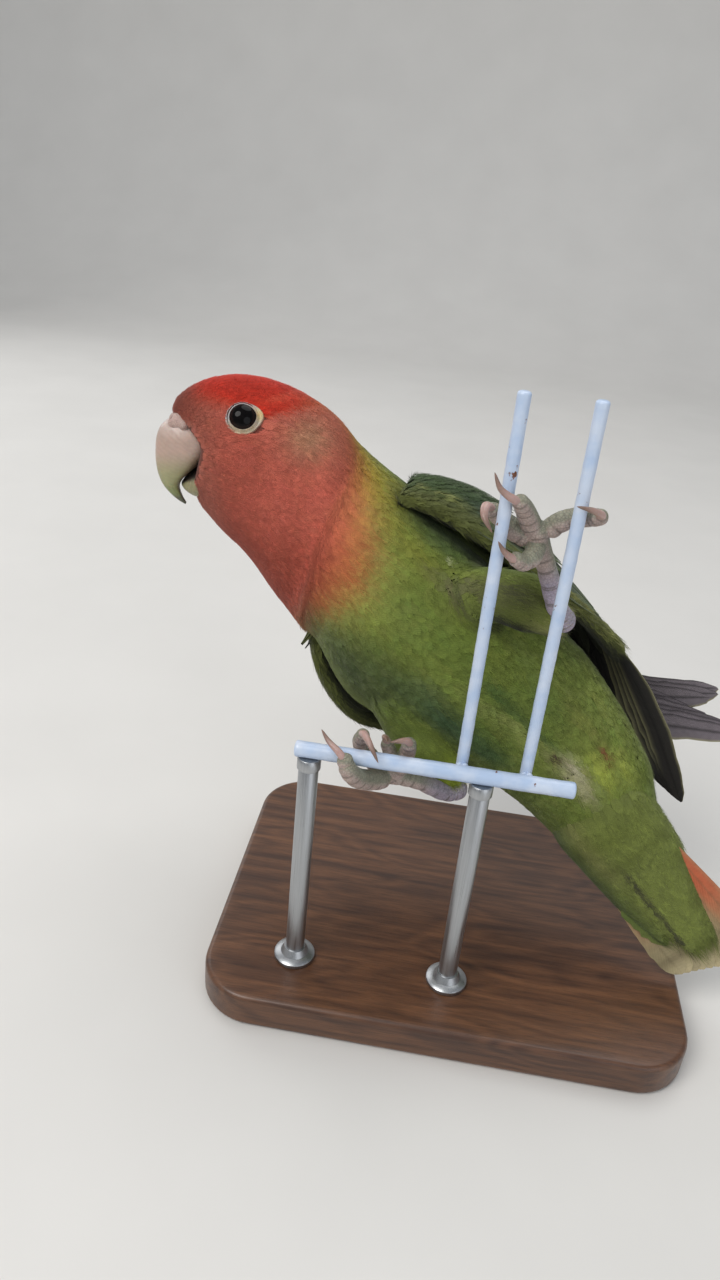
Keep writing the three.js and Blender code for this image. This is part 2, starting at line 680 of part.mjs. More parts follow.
for (const [side, leg] of Object.entries(LEGS)) {
  const shank = union([
    tube(leg.shank, [2.3, 1.75, 1.6, 1.9, 1.9], 8, 6),
    ball(leg.shank[0], 2.35, 8, 5),
    ball(leg.shank.at(-1), 2.05, 8, 5),
  ]).subtract(wires);
  add(`tarsus_${side}`, shank, 0xa59a97, 0.6);
  let room = union([wires, grown(shank)]);
  const thigh = tube(leg.thigh, [4.8, 6.0, 5.6, 3.4], 12, 6).subtract(union([bodyRoom, room]));
  add(`thigh_${side}`, thigh, 0x8fa22f);
  leg.toes.forEach(({ line, claw, thick }, i) => {
    const toe = union([
      tube(line, thick, TOE_SIDES, 5),
      ball(line.at(-1), thick.at(-1), 7, 4),
    ]).subtract(room);
    add(`toe_${side}_${i + 1}`, toe, 0x9c9088, 0.6);
    room = room.add(grown(toe));
  });
  leg.toes.forEach(({ claw }, i) => {
    const nail = tube(claw, [1.0, 0.85, 0.55, 0.18], CLAW_SIDES, 5).subtract(room);
    add(`claw_${side}_${i + 1}`, nail, 0xc9a796, 0.35);
    room = room.add(grown(nail));
  });
}

// Wings: each guide row holds points from the leading edge to the inner edge.
const onBody = (u, degrees, h) => formPoint(BODY, u, rad(degrees), h);
const LEFT_WING = [
  [onBody(52, 69, 3.4), onBody(51, 96, 4.2), onBody(50, 120, 3.6), onBody(50, 144, 2.0)],
  [onBody(69, 72, 7.4), onBody(70, 102, 9.0), onBody(69, 130, 6.0), onBody(68, 160, 3.2)],
  [V(25.8, 6.8, 80.4), onBody(92, 114, 7.2), onBody(90, 145, 4.4), onBody(88, 172, 3.0)],
  [V(39.2, 7.6, 63.6), V(36.4, 12.6, 58.2), V(31, 16.4, 52.4), V(24.8, 17.6, 46.8)],
  [V(49.6, 8.0, 42.2), V(48.6, 9.4, 40.8), V(47.4, 10.6, 39.4), V(46.0, 11.6, 38)],
];
const RIGHT_WING = [
  [onBody(50, -64, 1.8), onBody(50, -92, 3.6), onBody(50, -118, 3.6), onBody(50, -142, 2.0)],
  [onBody(70, -76, 4.8), onBody(69, -106, 5.6), onBody(67, -136, 4.6), onBody(65, -166, 3.2)],
  [onBody(91, -126, 5.2), onBody(88, -154, 6.2), onBody(83, -178, 7.4), onBody(77, -200, 6.6)],
  [V(36.0, 22.2, 48.0), V(35.5, 24.0, 53.6), V(34.5, 25.0, 59.0), V(32.5, 24.8, 64.4)],
  [V(62.2, 18.4, 50.5), V(62.2, 18.6, 55.7), V(57.2, 19.3, 60.5), V(52.4, 20, 65.4)],
];
const leftWing = sheet(LEFT_WING, 1);
const rightWing = sheet(RIGHT_WING, -1);
const WING_SINK = -1.5; // how far the wing's own body lies under its outermost feathers

// The feathers of a wing, tier by tier. k runs from the leading edge to the inner edge. Each tier
// holds a count, the feather's way as s and t, its half width, and the height of its root and tip.
const PRIMARY_TIPS = {
  left: [
    [1.0, 0.15],
    [0.99, 0.3],
    [0.96, 0.42],
    [0.92, 0.52],
    [0.87, 0.6],
    [0.82, 0.68],
  ],
  right: [
    [1.0, 0.3],
    [0.97, 0.44],
    [0.9, 0.6],
    [0.86, 0.72],
    [0.97, 0.84],
    [1.0, 0.99],
  ],
};
const TIERS = [
  {
    count: 6,
    way: (k, i, side) => {
      const [s, t] = PRIMARY_TIPS[side][i];
      return [[0.36, 0.06 + 0.3 * k], [(0.36 + s) / 2, lerp(0.06 + 0.3 * k, t, 0.55)], [s, t]];
    },
    half: 3.7,
    thick: 0.8,
    rise: (k) => [-1.6, -1.2 + 0.9 * k],
    rows: 4,
    blunt: 0.6,
    ridge: true,
  },
  {
    count: 4,
    way: (k) => [
      [0.28, 0.24 + 0.66 * k],
      [0.5, 0.34 + 0.56 * k],
      [0.78 - 0.14 * k, 0.46 + 0.46 * k],
    ],
    half: 4.6,
    thick: 0.8,
    rise: (k) => [-1.5, -0.5 + 0.5 * k],
    rows: 3,
    blunt: 0.5,
  },
  {
    count: 3,
    way: (k) => [[0.22, 0.06 + 0.12 * k], [0.38, 0.05 + 0.14 * k], [0.56 - 0.06 * k, 0.06 + 0.16 * k]],
    half: 2.6,
    thick: 0.8,
    rise: (k) => [-1.4, -0.4 + 0.2 * k],
    rows: 3,
    blunt: 0.4,
  },
  {
    count: 4,
    way: (k) => [[0.16, 0.12 + 0.8 * k], [0.32, 0.18 + 0.76 * k], [0.46 - 0.04 * k, 0.24 + 0.72 * k]],
    half: 4.6,
    thick: 0.8,
    rise: (k) => [-1.4, 0.1 + 0.2 * k],
    rows: 3,
    blunt: 0.4,
  },
  {
    count: 5,
    way: (k) => [[0.06, 0.08 + 0.84 * k], [0.18, 0.09 + 0.86 * k], [0.3, 0.12 + 0.83 * k]],
    half: 3.7,
    thick: 0.9,
    rise: (k) => [-1.3, 0.4 + 0.1 * k],
    rows: 3,
    blunt: 0.3,
  },
  {
    count: 4,
    way: (k) => [[0.01, 0.14 + 0.7 * k], [0.09, 0.09 + 0.82 * k], [0.18, 0.09 + 0.82 * k]],
    half: 4.0,
    thick: 1,
    rise: () => [-1.4, 0.6],
    rows: 3,
    blunt: 0.25,
  },
];

function wing(surface, side) {
  const parts = [
    sheetPlate(
      surface,
      [0, 0.84],
      [0.02, 0.98],
      9,
      5,
      (s) => lerp(WING_SINK, -1.0, clamp(s / 0.6, 0, 1)),
      (s) => lerp(2.8, 0.8, clamp(s / 0.6, 0, 1)),
      (k) => Math.sqrt(1 - Math.max(0, (0.1 - k) / 0.1) ** 2 * 0.6) * (1 - 0.35 * Math.max(0, k - 0.5)),
    ),
  ];
  for (const tier of TIERS)
    for (let i = 0; i < tier.count; i++) {
      const k = i / (tier.count - 1);
      parts.push(
        vane(surface, tier.way(k, i, side), tier.half, tier.thick, tier.rise(k), {
          rows: tier.rows,
          blunt: tier.blunt,
          ridge: tier.ridge ?? false,
          roll: -0.1,
        }),
      );
    }
  return union(parts);
}

const wingLeft = wing(leftWing, "left").subtract(union([bodyRoom, grown(made.thigh_left)]));
add("wing_left", wingLeft, 0x3f7a3a);
const besideRight = [bodyRoom, grown(made.thigh_right), grown(made.wing_left), grown(made.tail)];
add("wing_right", wing(rightWing, "right").subtract(union(besideRight)), 0x3f7a3a);

export default group;
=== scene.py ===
import math

import bpy
import numpy as np
from mathutils import Matrix
from mathutils.bvhtree import BVHTree
from mathutils.kdtree import KDTree


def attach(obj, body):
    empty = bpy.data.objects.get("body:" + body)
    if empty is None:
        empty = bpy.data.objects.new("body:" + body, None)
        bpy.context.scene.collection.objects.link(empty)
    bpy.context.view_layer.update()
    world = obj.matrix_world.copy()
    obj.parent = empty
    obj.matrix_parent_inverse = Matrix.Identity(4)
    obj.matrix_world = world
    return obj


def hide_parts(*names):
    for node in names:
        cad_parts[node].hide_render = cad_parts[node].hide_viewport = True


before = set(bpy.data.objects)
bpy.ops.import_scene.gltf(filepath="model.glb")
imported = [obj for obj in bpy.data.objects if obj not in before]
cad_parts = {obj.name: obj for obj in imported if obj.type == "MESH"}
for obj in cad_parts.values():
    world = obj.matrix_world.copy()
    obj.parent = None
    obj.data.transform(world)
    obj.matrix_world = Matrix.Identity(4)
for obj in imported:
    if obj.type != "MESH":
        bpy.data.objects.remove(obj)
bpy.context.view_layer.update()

# A peach-faced lovebird clinging to cage wires. Lengths are in millimetres, as in the solids,
# and turn into metres where a mesh is made. Colours are plain 0 to 255 values.
MM = 0.001
FULL_TURN = 2 * np.pi
random = np.random.default_rng(7)

WIRE_Y = -22.0
UPRIGHT_X = (-3.7, 8.6)
UPRIGHT_R = 1.15
UPRIGHT_TOP = 134.0
CROSS_R = 1.6
CROSS_Z = 62.3
CROSS_X = (-36.0, 18.0)
CROSS_Y = WIRE_Y - UPRIGHT_R - CROSS_R - 0.3
BASE = {"x": 104.0, "y": 78.0, "z": 8.0, "corner": 12.0, "bevel": 1.2}
ROD_R = 2.0
ROD_X = (-33.0, 0.5)
BODY_END = 125.0
EYE_R = 3.5
EYE = (0.7, 8.5, 8.3)
EYE_LEAN = math.radians(24)  # how far the eyes' rings lean in at their tops
RING_OUTER = 3.1  # where the feathers begin round an eye

HEAD_CENTRE = np.array((-56.0, 13.0, 107.0))
HEAD_AXES = np.array(
    ((-0.9585, -0.263, -0.1104), (-0.1376, 0.0872, 0.9866), (0.2498, -0.9609, 0.1198))
)


# Small tools

def unit(v):
    return v / np.linalg.norm(v, axis=-1, keepdims=True)


def smooth(x, low, high):
    t = np.clip((np.asarray(x, float) - low) / (high - low), 0, 1)
    return t * t * (3 - 2 * t)


def bump(x, middle, width):
    return np.exp(-(((x - middle) / width) ** 2))


def between(low, high, k):
    return low + (high - low) * k


def mix(a, b, w):
    return a + (np.asarray(b, float) - a) * np.asarray(w)[..., None]


def layered(colour, shape, *layers):
    """One colour at every point, then each layer's colour mixed in by the layer's weight."""
    colour = np.broadcast_to(np.array(colour, float), shape)
    for over, weight in layers:
        colour = mix(colour, over, weight)
    return colour


def linear(colour):
    c = np.clip(np.asarray(colour, float) / 255, 0, 1)
    return np.where(c <= 0.04045, c / 12.92, ((c + 0.055) / 1.055) ** 2.4)


def circle(count):
    return np.linspace(0, FULL_TURN, count, endpoint=False)


def mesh_grid(first, second):
    return np.meshgrid(first, second, indexing="ij")


def steps_along(points):
    return np.linalg.norm(np.diff(points, axis=0), axis=1)


def run_length(points):
    """How far along a line each of its points is."""
    return np.concatenate(([0], np.cumsum(steps_along(points))))


def flat_rows(*arrays):
    return tuple(v.reshape(-1, v.shape[-1]) for v in arrays)


def head_point(forward, up, left=0.0):
    return HEAD_CENTRE + np.array((forward, up, left)) @ HEAD_AXES


def head_place(points):
    """Forward, up and left of the head's middle."""
    return np.moveaxis((points - HEAD_CENTRE) @ HEAD_AXES.T, -1, 0)


def hermite(f, start, end, rise, fall):
    """A smooth curve from start to end that leaves with slope rise and arrives with slope fall."""
    inside = (
        (2 * f**3 - 3 * f**2 + 1) * start
        + (f**3 - 2 * f**2 + f) * rise
        + (-2 * f**3 + 3 * f**2) * end
        + (f**3 - f**2) * fall
    )
    return np.where(f < 0, start + rise * f, np.where(f > 1, end + fall * (f - 1), inside))


def basis(count, k):
    """Weights of a smooth curve through evenly spaced points, at k from 0 to 1."""
    x = np.asarray(k, float) * (count - 1)
    i = np.clip(np.floor(x), 0, count - 2).astype(int)
    eye = np.eye(count)

    def at(j):
        return eye[np.clip(j, 0, count - 1)]

    def slope(j):
        ends = ((j <= 0) | (j >= count - 1))[..., None]
        return (at(j + 1) - at(j - 1)) * np.where(ends, 1.0, 0.5)

    return hermite((x - i)[..., None], at(i), at(i + 1), slope(i), slope(i + 1))


def curve(points, k):
    return basis(len(points), k) @ np.asarray(points, float)


# The body's form: u runs along it from the face to the root of the tail, a goes round it.
# Each row: u, the upper point, the lower point, and how far it reaches to the front and back.
SECTIONS = [
    (0, head_point(15.2, 9.3), head_point(11.2, -6.2), 3.8, 3.8),
    (2.5, head_point(13.9, 12.5), head_point(10.9, -9.2), 5.0, 5.0),
    (6, head_point(10.6, 14.9), head_point(8.9, -12.4), 7.4, 7.4),
    (10.5, head_point(6.0, 16.4), head_point(6.2, -16.0), 10.9, 10.9),
    (16, head_point(0.2, 16.7), head_point(3.4, -19.2), 12.8, 12.8),
    (22, head_point(-6.0, 15.4), head_point(0.4, -23.6), 13.6, 13.6),
    (28.5, head_point(-12.4, 12.4), head_point(-2.4, -28.8), 14.8, 14.8),
    (35.5, head_point(-18.8, 7.6), head_point(-5.4, -33.8), 16.4, 16.0),
    (43, head_point(-24.6, 0.4), head_point(-8.6, -38.8), 18.2, 17.0),
    (53, (-19.8, 13.6, 103.4), (-37.5, 12.0, 68.5), 20.0, 18.5),
    (66, (-5.7, 10.0, 95.6), (-29.0, 10.0, 57.5), 21.5, 19.5),
    (82, (9.7, 8.0, 83.2), (-10.5, 8.0, 49.5), 21.0, 19.0),
    (98, (23.4, 5.0, 70.6), (5.0, 5.0, 43.0), 17.5, 16.0),
    (113, (35.0, 0.5, 56.4), (16.2, 0.5, 36.5), 12.8, 12.0),
    (BODY_END, (41.5, -4.0, 44.5), (25.9, -4.0, 29.7), 9.0, 8.4),
]
FORM_U = np.array([row[0] for row in SECTIONS], float)
FORM = np.array([[*row[1], *row[2], row[3], row[4]] for row in SECTIONS], float)
HEADING = 5.0  # how far along the body its direction is taken from


def form_rows(u):
    last = len(FORM_U) - 1
    before = np.maximum(np.arange(last + 1) - 1, 0)
    after = np.minimum(np.arange(last + 1) + 1, last)
    slopes = (FORM[after] - FORM[before]) / (FORM_U[after] - FORM_U[before])[:, None]
    i = np.clip(np.searchsorted(FORM_U, u) - 1, 0, last - 1)
    span = (FORM_U[i + 1] - FORM_U[i])[..., None]
    k = (u - FORM_U[i])[..., None] / span
    return hermite(k, FORM[i], FORM[i + 1], span * slopes[i], span * slopes[i + 1])


def form_middle(u):
    rows = form_rows(u)
    return (rows[..., :3] + rows[..., 3:6]) / 2


def form_point(u, a, h=0.0):
    """A point on the body. Angle 0 faces the wires, 90 degrees is the bird's left."""
    u, a, h = np.broadcast_arrays(*(np.asarray(v, float) for v in (u, a, h)))
    rows = form_rows(u)
    upward = (rows[..., :3] - rows[..., 3:6]) / 2
    half = np.linalg.norm(upward, axis=-1)
    front = unit(np.cross(upward, form_middle(u - HEADING) - form_middle(u + HEADING)))
    front = np.where(front[..., 1:2] > 0, -front, front)
    reach = np.where(np.cos(a) >= 0, rows[..., 6], rows[..., 7])
    across = front * ((reach + h) * np.cos(a))[..., None]
    return form_middle(u) + across + unit(upward) * ((half + h) * np.sin(a))[..., None]


def on_body(u, degrees, h):
    return form_point(u, math.radians(degrees), h)


def round_angle(a):
    """Degrees round the body, from -130 to 230, so that the bird's back is one stretch."""
    return (np.degrees(a) + 130) % 360 - 130


def coat_depth(u):
    return np.interp(u, [0, 8, 25, 45, 70, BODY_END], [0.45, 0.6, 0.8, 1.1, 1.35, 1.2])


def relief(u, a):
    """Folds of the plumage: the right flank lies over the belly along one line."""
    angle = round_angle(a)
    along = smooth(u, 70, 80) * (1 - smooth(u, 100, 110))
    lap = (1 - smooth(angle, 6, 13)) * smooth(angle, -75, 0)
    hollow = bump(angle, 17, 9) * smooth(u, 72, 82) * (1 - smooth(u, 98, 108))
    thigh_crease = bump(angle, 55, 9) * bump(u, 80, 9)
    wing_crease = bump(angle, 72, 12) * bump(u, 60, 10)
    upper_side = bump(angle, 84, 17) * smooth(u, 82, 94) * (1 - smooth(u, 114, 124))
    return (1.5 * along * lap - 0.7 * hollow - 1.0 * thigh_crease - 0.8 * wing_crease
            + 1.5 * upper_side)


# Where the feathers of the face end and the bill stands bare: up, and how far forward.
FACE_EDGE_UP = (-9.0, -5.6, -3.2, -0.6, 2.4, 4.6, 7.8, 8.9, 10.0)
FACE_EDGE_FORWARD = (16.5, 13.4, 11.6, 10.6, 9.6, 10.0, 12.4, 14.6, 17.0)


def past_face_edge(points):
    """How far in front of the face's edge points are."""
    forward, up, _ = head_place(points)
    return forward - np.interp(up, FACE_EDGE_UP, FACE_EDGE_FORWARD)


THIGHS = {
    "left": [(-13, 4, 82), (-5, -2.6, 90), (3.4, -8.4, 92), (10.4, -11.3, 90.4)],
    "right": [(-22, 3, 66), (-17, -4.5, 61), (-10.5, -9.2, 55.4), (-4.8, -11.8, 50.8)],
}
THIGH_R = (4.8, 6.0, 5.6, 3.4)


def spread_over(k, values):
    """Evenly spaced values, taken at k from 0 to 1."""
    return np.interp(k, np.linspace(0, 1, len(values)), values)


def line_frames(line, count):
    """Points, ways and two steady cross directions along a curve."""
    k = np.linspace(0, 1, count)
    middle = curve(line, k)
    way = unit(np.gradient(middle, axis=0))
    side = np.zeros_like(way)
    start = np.cross(way[0], (0.31, 0.2, 0.93))
    side[0] = start / np.linalg.norm(start)
    for i in range(1, count):
        turned = side[i - 1] - way[i] * (side[i - 1] @ way[i])
        side[i] = turned / np.linalg.norm(turned)
    return k, middle, way, side, np.cross(way, side)


def thigh_point(thigh, k, a, h=0.0):
    """A point on a thigh's tapered form, h outside it."""
    grid, middle, _, side, other = line_frames(THIGHS[thigh], 61)
    middle, side, other = (
        np.stack([np.interp(k, grid, v[:, j]) for j in range(3)], -1) for v in (middle, side, other)
    )
    r = spread_over(k, THIGH_R) + h
    return middle + side * (r * np.cos(a))[..., None] + other * (r * np.sin(a))[..., None]


# Meshes

def store(mesh, key, kind, field, values):
    layer = mesh.attributes.new(key, kind, "POINT")
    layer.data.foreach_set(field, values.astype(np.float32).ravel())


def build(name, points, quads=None, tris=None, material=None, tint=None, vane=None, uv=None,
          sharp=None, normals=None):
    """A smooth shaded mesh object from arrays in millimetres.

    tint is a colour for each point, vane holds a feather's own across and along places."""
    quads = np.zeros((0, 4), int) if quads is None else quads
    tris = np.zeros((0, 3), int) if tris is None else tris
    loops = np.concatenate((quads.ravel(), tris.ravel())).astype(np.int32)
    totals = np.concatenate((np.full(len(quads), 4), np.full(len(tris), 3))).astype(np.int32)
    starts = np.concatenate(([0], np.cumsum(totals)[:-1])).astype(np.int32)
    mesh = bpy.data.meshes.new(name)
    mesh.vertices.add(len(points))
    mesh.vertices.foreach_set("co", (points * MM).astype(np.float32).ravel())
    mesh.loops.add(len(loops))
    mesh.loops.foreach_set("vertex_index", loops)
    mesh.polygons.add(len(totals))
    mesh.polygons.foreach_set("loop_start", starts)
    mesh.polygons.foreach_set("loop_total", totals)
    mesh.update(calc_edges=True)
    mesh.shade_smooth()
    if sharp is not None:
        mesh.set_sharp_from_angle(angle=math.radians(sharp))
    if tint is not None:
        opaque = np.ones((len(tint), 1))
        store(mesh, "tint", "FLOAT_COLOR", "color", np.concatenate((linear(tint), opaque), 1))
        store(mesh, "vane", "FLOAT_VECTOR", "vector", vane)
    if uv is not None:
        layer = mesh.uv_layers.new(name="OFBake")
        layer.data.foreach_set("uv", uv[loops].astype(np.float32).ravel())
    if normals is not None:
        mesh.normals_split_custom_set_from_vertices(normals.tolist())
    if material is not None:
        mesh.materials.append(material)
    return placed(bpy.data.objects.new(name, mesh))


def placed(obj):
    bpy.context.scene.collection.objects.link(obj)
    return obj


def piece(slot, nodes, name, *parts, **more):
    """A built object that rides on the root body and replaces the named nodes of the solids."""
    obj = build(name, *parts, **more)
    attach(obj, "root")
    if nodes:
        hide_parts(*nodes)


def loft_faces(rings, sides):
    """Quads of rings joined one to the next, and triangles that cap both ends."""
    i, j = mesh_grid(np.arange(rings - 1), np.arange(sides))
    a = i * sides + j
    b = i * sides + (j + 1) % sides
    quads = np.stack((a, b, b + sides, a + sides), -1).reshape(-1, 4)
    j = np.arange(1, sides - 1)
    first = np.stack((np.zeros_like(j), j + 1, j), -1)
    last = np.stack((np.zeros_like(j), j, j + 1), -1) + (rings - 1) * sides
    return quads, np.concatenate((first, last))


def facing_out(points, quads, tris=None):
    """The faces, turned over if the closed mesh would be inside out."""
    a, b, c, d = (points[quads[:, n]] for n in range(4))
    volume = np.einsum("ij,ij->i", a, np.cross(b, c)).sum()
    volume += np.einsum("ij,ij->i", a, np.cross(c, d)).sum()
    if volume >= 0:
        return quads, tris
    return quads[:, ::-1], tris if tris is None else tris[:, ::-1]


def loft(grid):
    """Points, quads and triangles of a closed form through rings of points."""
    points, = flat_rows(grid)
    return (points, *facing_out(points, *loft_faces(*grid.shape[:2])))


def joined(parts):
    """Several sets of points, quads and triangles as one."""
    starts = np.cumsum([0] + [len(points) for points, _, _ in parts])
    points, quads, tris = zip(*((p, q + n, t + n) for (p, q, t), n in zip(parts, starts)))
    return np.concatenate(points), np.concatenate(quads), np.concatenate(tris)


def remeshed(parts, voxel, rounds):
    """One seamless closed surface round overlapping closed forms: points and quads."""
    source = build("source", *joined(parts))
    remesh = source.modifiers.new("remesh", "REMESH")
    remesh.mode = "VOXEL"
    remesh.voxel_size = voxel * MM
    soften = source.modifiers.new("soften", "SMOOTH")
    soften.iterations = rounds
    soften.factor = 0.5
    shaped = source.evaluated_get(bpy.context.evaluated_depsgraph_get()).to_mesh()
    points = np.zeros(len(shaped.vertices) * 3, np.float32)
    shaped.vertices.foreach_get("co", points)
    corners = np.zeros(len(shaped.loops), np.int32)
    shaped.loops.foreach_get("vertex_index", corners)
    faces = corners.reshape(-1, 4).copy()
    points = points.reshape(-1, 3).astype(float) / MM
    bpy.data.objects.remove(source)
    return points, faces


def vertex_normals(points, quads):
    a, b, c, d = (points[quads[:, n]] for n in range(4))
    face = np.cross(c - a, d - b)
    total = np.zeros_like(points)
    for n in range(4):
        np.add.at(total, quads[:, n], face)
    return unit(total + 1e-12)


def eased(values, quads, weight, rounds):
    """Values at the points, each drawn towards its neighbours' mean by its weight."""
    ends = np.concatenate([quads[:, [n, (n + 1) % 4]] for n in range(4)])
    count = np.bincount(ends[:, 0], minlength=len(values))[:, None]
    for _ in range(rounds):
        mean = np.stack([np.bincount(ends[:, 0], column[ends[:, 1]], len(values))
                         for column in values.T], -1)
        values = values + 0.5 * np.reshape(weight, (-1, 1)) * (mean / count - values)
    return values


# Materials

class Look:
    """A new procedural material, built up in steps that each give a socket."""

    def __init__(self, name, **sockets):
        self.material = bpy.data.materials.new(name)
        self.material.use_nodes = True
        self.tree = self.material.node_tree
        self.shader = self.tree.nodes["Principled BSDF"]
        for key, value in sockets.items():
            self.shader.inputs[key.replace("_", " ")].default_value = value

    def step(self, kind, inputs, out=0, **settings):
        node = self.tree.nodes.new(f"ShaderNode{kind}")
        for key, value in settings.items():
            setattr(node, key, value)
        for key, value in inputs.items():
            if isinstance(value, bpy.types.NodeSocket):
                self.tree.links.new(value, node.inputs[key])
            else:
                node.inputs[key].default_value = value
        return node.outputs[out]

    def math(self, operation, a, b=0.0):
        return self.step("Math", {0: a, 1: b}, operation=operation)

    def add(self, a, b):
        return self.math("ADD", a, b)

    def times(self, a, b):
        return self.math("MULTIPLY", a, b)

    def waves(self, source, length):
        return self.math("SINE", self.times(source, FULL_TURN / length))

    def ranged(self, source, low, high, to_low, to_high):
        inputs = {0: source, 1: low, 2: high, 3: to_low, 4: to_high}
        return self.step("MapRange", inputs)

    def place(self, stretch=(1, 1, 1)):
        """Object places in millimetres, stretched along the axes."""
        where = self.step("TexCoord", {}, "Object")
        scale = tuple(v / MM for v in stretch)
        return self.step("VectorMath", {0: where, 1: scale}, operation="MULTIPLY")

    def noise(self, scale, detail, stretch=(1, 1, 1), roughness=0.5):
        inputs = {"Scale": scale, "Detail": detail, "Roughness": roughness,
                  "Vector": self.place(stretch)}
        return self.step("TexNoise", inputs, "Fac")

    def vane(self):
        """How far across and along its own feather or horn a place is."""
        vane = self.step("Attribute", {}, "Vector", attribute_name="vane")
        across = self.step("SeparateXYZ", {0: vane})
        return across, across.node.outputs[1]

    def shaded(self, colour, amount):
        """A colour made lighter or darker by a factor near 1."""
        return self.step("VectorMath", {0: colour, 3: amount}, operation="SCALE")

    def tint(self, amount):
        colour = self.step("Attribute", {}, "Color", attribute_name="tint")
        return self.shaded(colour, amount)

    def blend(self, factor, *colours):
        a, b = (c if isinstance(c, bpy.types.NodeSocket) else (*linear(c), 1) for c in colours)
        return self.step("Mix", {0: factor, 6: a, 7: b}, 2, data_type="RGBA")

    def done(self, colour, height=None, strength=0.0, distance=0.0, rough=None):
        self.tree.links.new(colour, self.shader.inputs["Base Color"])
        if rough is not None:
            self.tree.links.new(rough, self.shader.inputs["Roughness"])
        if height is not None:
            inputs = {"Height": height, "Strength": strength, "Distance": distance}
            self.tree.links.new(self.step("Bump", inputs), self.shader.inputs["Normal"])
        return self.material


def feather_material(name, roughness, sheen, barb, streak):
    """Barbs run out from each feather's middle line. barb is their spacing in millimetres."""
    look = Look(name, Roughness=roughness, Sheen_Weight=sheen, Sheen_Roughness=0.5,
                Specular_IOR_Level=0.3)
    across, along = look.vane()
    slant = look.math("SUBTRACT", along, look.times(look.math("ABSOLUTE", across), 1.1))
    lines = look.waves(slant, barb)
    wander, broad = look.noise(0.9, 4.0), look.noise(0.12, 2.0)
    shade = look.add(look.ranged(wander, 0.25, 0.75, -0.11, 0.11),
                     look.ranged(broad, 0.3, 0.7, -0.06, 0.06))
    shade = look.add(look.add(shade, look.times(lines, streak)), 1.0)
    return look.done(look.tint(shade), look.add(lines, wander), 0.35, 0.00012)


def horn_material(name, roughness, grow, depth):
    """Horn with growth lines across its length, grow millimetres apart."""
    look = Look(name, Roughness=roughness, Coat_Weight=0.15, Coat_Roughness=0.25,
                Subsurface_Weight=0.12, Subsurface_Scale=0.001)
    cloud, fine = look.noise(0.55, 4.0), look.noise(3.5, 4.0)
    lines = look.waves(look.add(look.vane()[1], look.times(cloud, 2.4)), grow)
    shade = look.add(look.ranged(cloud, 0.3, 0.7, 0.93, 1.07), look.times(lines, 0.02))
    rough = look.ranged(fine, 0.3, 0.7, roughness - 0.08, roughness + 0.12)
    return look.done(look.tint(shade), look.add(look.times(lines, 0.6), fine), 0.3, depth, rough)


def bare_skin_material(name, cell, roughness, depth):
    """Skin with small raised scales, cell millimetres across."""
    look = Look(name, Roughness=roughness, Subsurface_Weight=0.08, Subsurface_Scale=0.0006)
    cells = look.step("TexVoronoi", {"Vector": look.place(), "Scale": 1 / cell}, "Distance",
                      feature="DISTANCE_TO_EDGE")
    edge = look.ranged(cells, 0.0, 0.16, 0.0, 1.0)
    cloud, fine = look.noise(0.8, 4.0), look.noise(5.0, 3.0)
    shade = look.times(look.ranged(edge, 0, 1, 0.74, 1.03),
                       look.ranged(cloud, 0.3, 0.7, 0.86, 1.12))
    return look.done(look.tint(shade), look.add(edge, look.times(fine, 0.4)), 0.6, depth)


def eye_material():
    """A wide black pupil in a dark brown iris, under a wet surface."""
    look = Look("eye_wet", Roughness=0.05, Coat_Weight=0.0, Specular_IOR_Level=0.12)
    return look.done(look.tint(look.ranged(look.noise(2.2, 5.0), 0.3, 0.7, 0.6, 1.5)))


def paint_material():
    """Pale blue-white paint, a little uneven, with rust where it has chipped."""
    look = Look("wire_paint", Roughness=0.36, Coat_Weight=0.2, Coat_Roughness=0.3)
    cloud, fine = look.noise(0.25, 4.0), look.noise(2.2, 5.0)
    rust = look.ranged(look.noise(0.42, 6.0, (1, 1, 0.7), 0.62), 0.655, 0.685, 0.0, 1.0)
    paint = look.blend(look.ranged(cloud, 0.35, 0.65, 0, 1), (178, 198, 226), (202, 214, 232))
    rusty = look.blend(fine, (84, 44, 26), (138, 84, 50))
    height = look.math("SUBTRACT", look.times(cloud, 0.8), look.times(rust, 0.6))
    return look.done(look.blend(rust, paint, rusty), look.add(height, look.times(fine, 0.15)),
                     0.5, 0.0002, look.ranged(rust, 0, 1, 0.34, 0.85))


def wood_material():
    """Dark walnut with long grain, pores and a satin finish."""
    look = Look("stand_walnut", Roughness=0.42, Coat_Weight=0.25, Coat_Roughness=0.25)
    grain = look.noise(1.0, 6.0, (0.02, 0.55, 0.55), 0.62)
    rings = look.math("SINE", look.times(look.noise(1.0, 2.0, (0.018, 0.07, 0.07)), 70.0))
    mixed = look.add(look.ranged(grain, 0.3, 0.7, 0.0, 0.75), look.times(rings, 0.14))
    pores = look.ranged(look.noise(6.0, 5.0, (0.05, 0.9, 0.9)), 0.36, 0.5, 0.7, 1.0)
    colour = look.shaded(look.blend(mixed, (66, 40, 26), (120, 80, 52)), pores)
    return look.done(colour, pores, 0.25, 0.00015)


def steel_material():
    """Brushed steel."""
    look = Look("stand_brushed_steel", Metallic=1.0, Roughness=0.34)
    brushed = look.noise(2.0, 6.0, (2.5, 2.5, 0.05))
    colour = look.blend(brushed, (150, 153, 156), (196, 198, 200))
    return look.done(colour, brushed, 0.15, 0.00005, look.ranged(brushed, 0.3, 0.7, 0.26, 0.46))


def floor_material():
    look = Look("floor_pale", Roughness=0.75)
    return look.done(look.blend(look.noise(0.02, 3.0), (214, 212, 208), (224, 222, 218)))


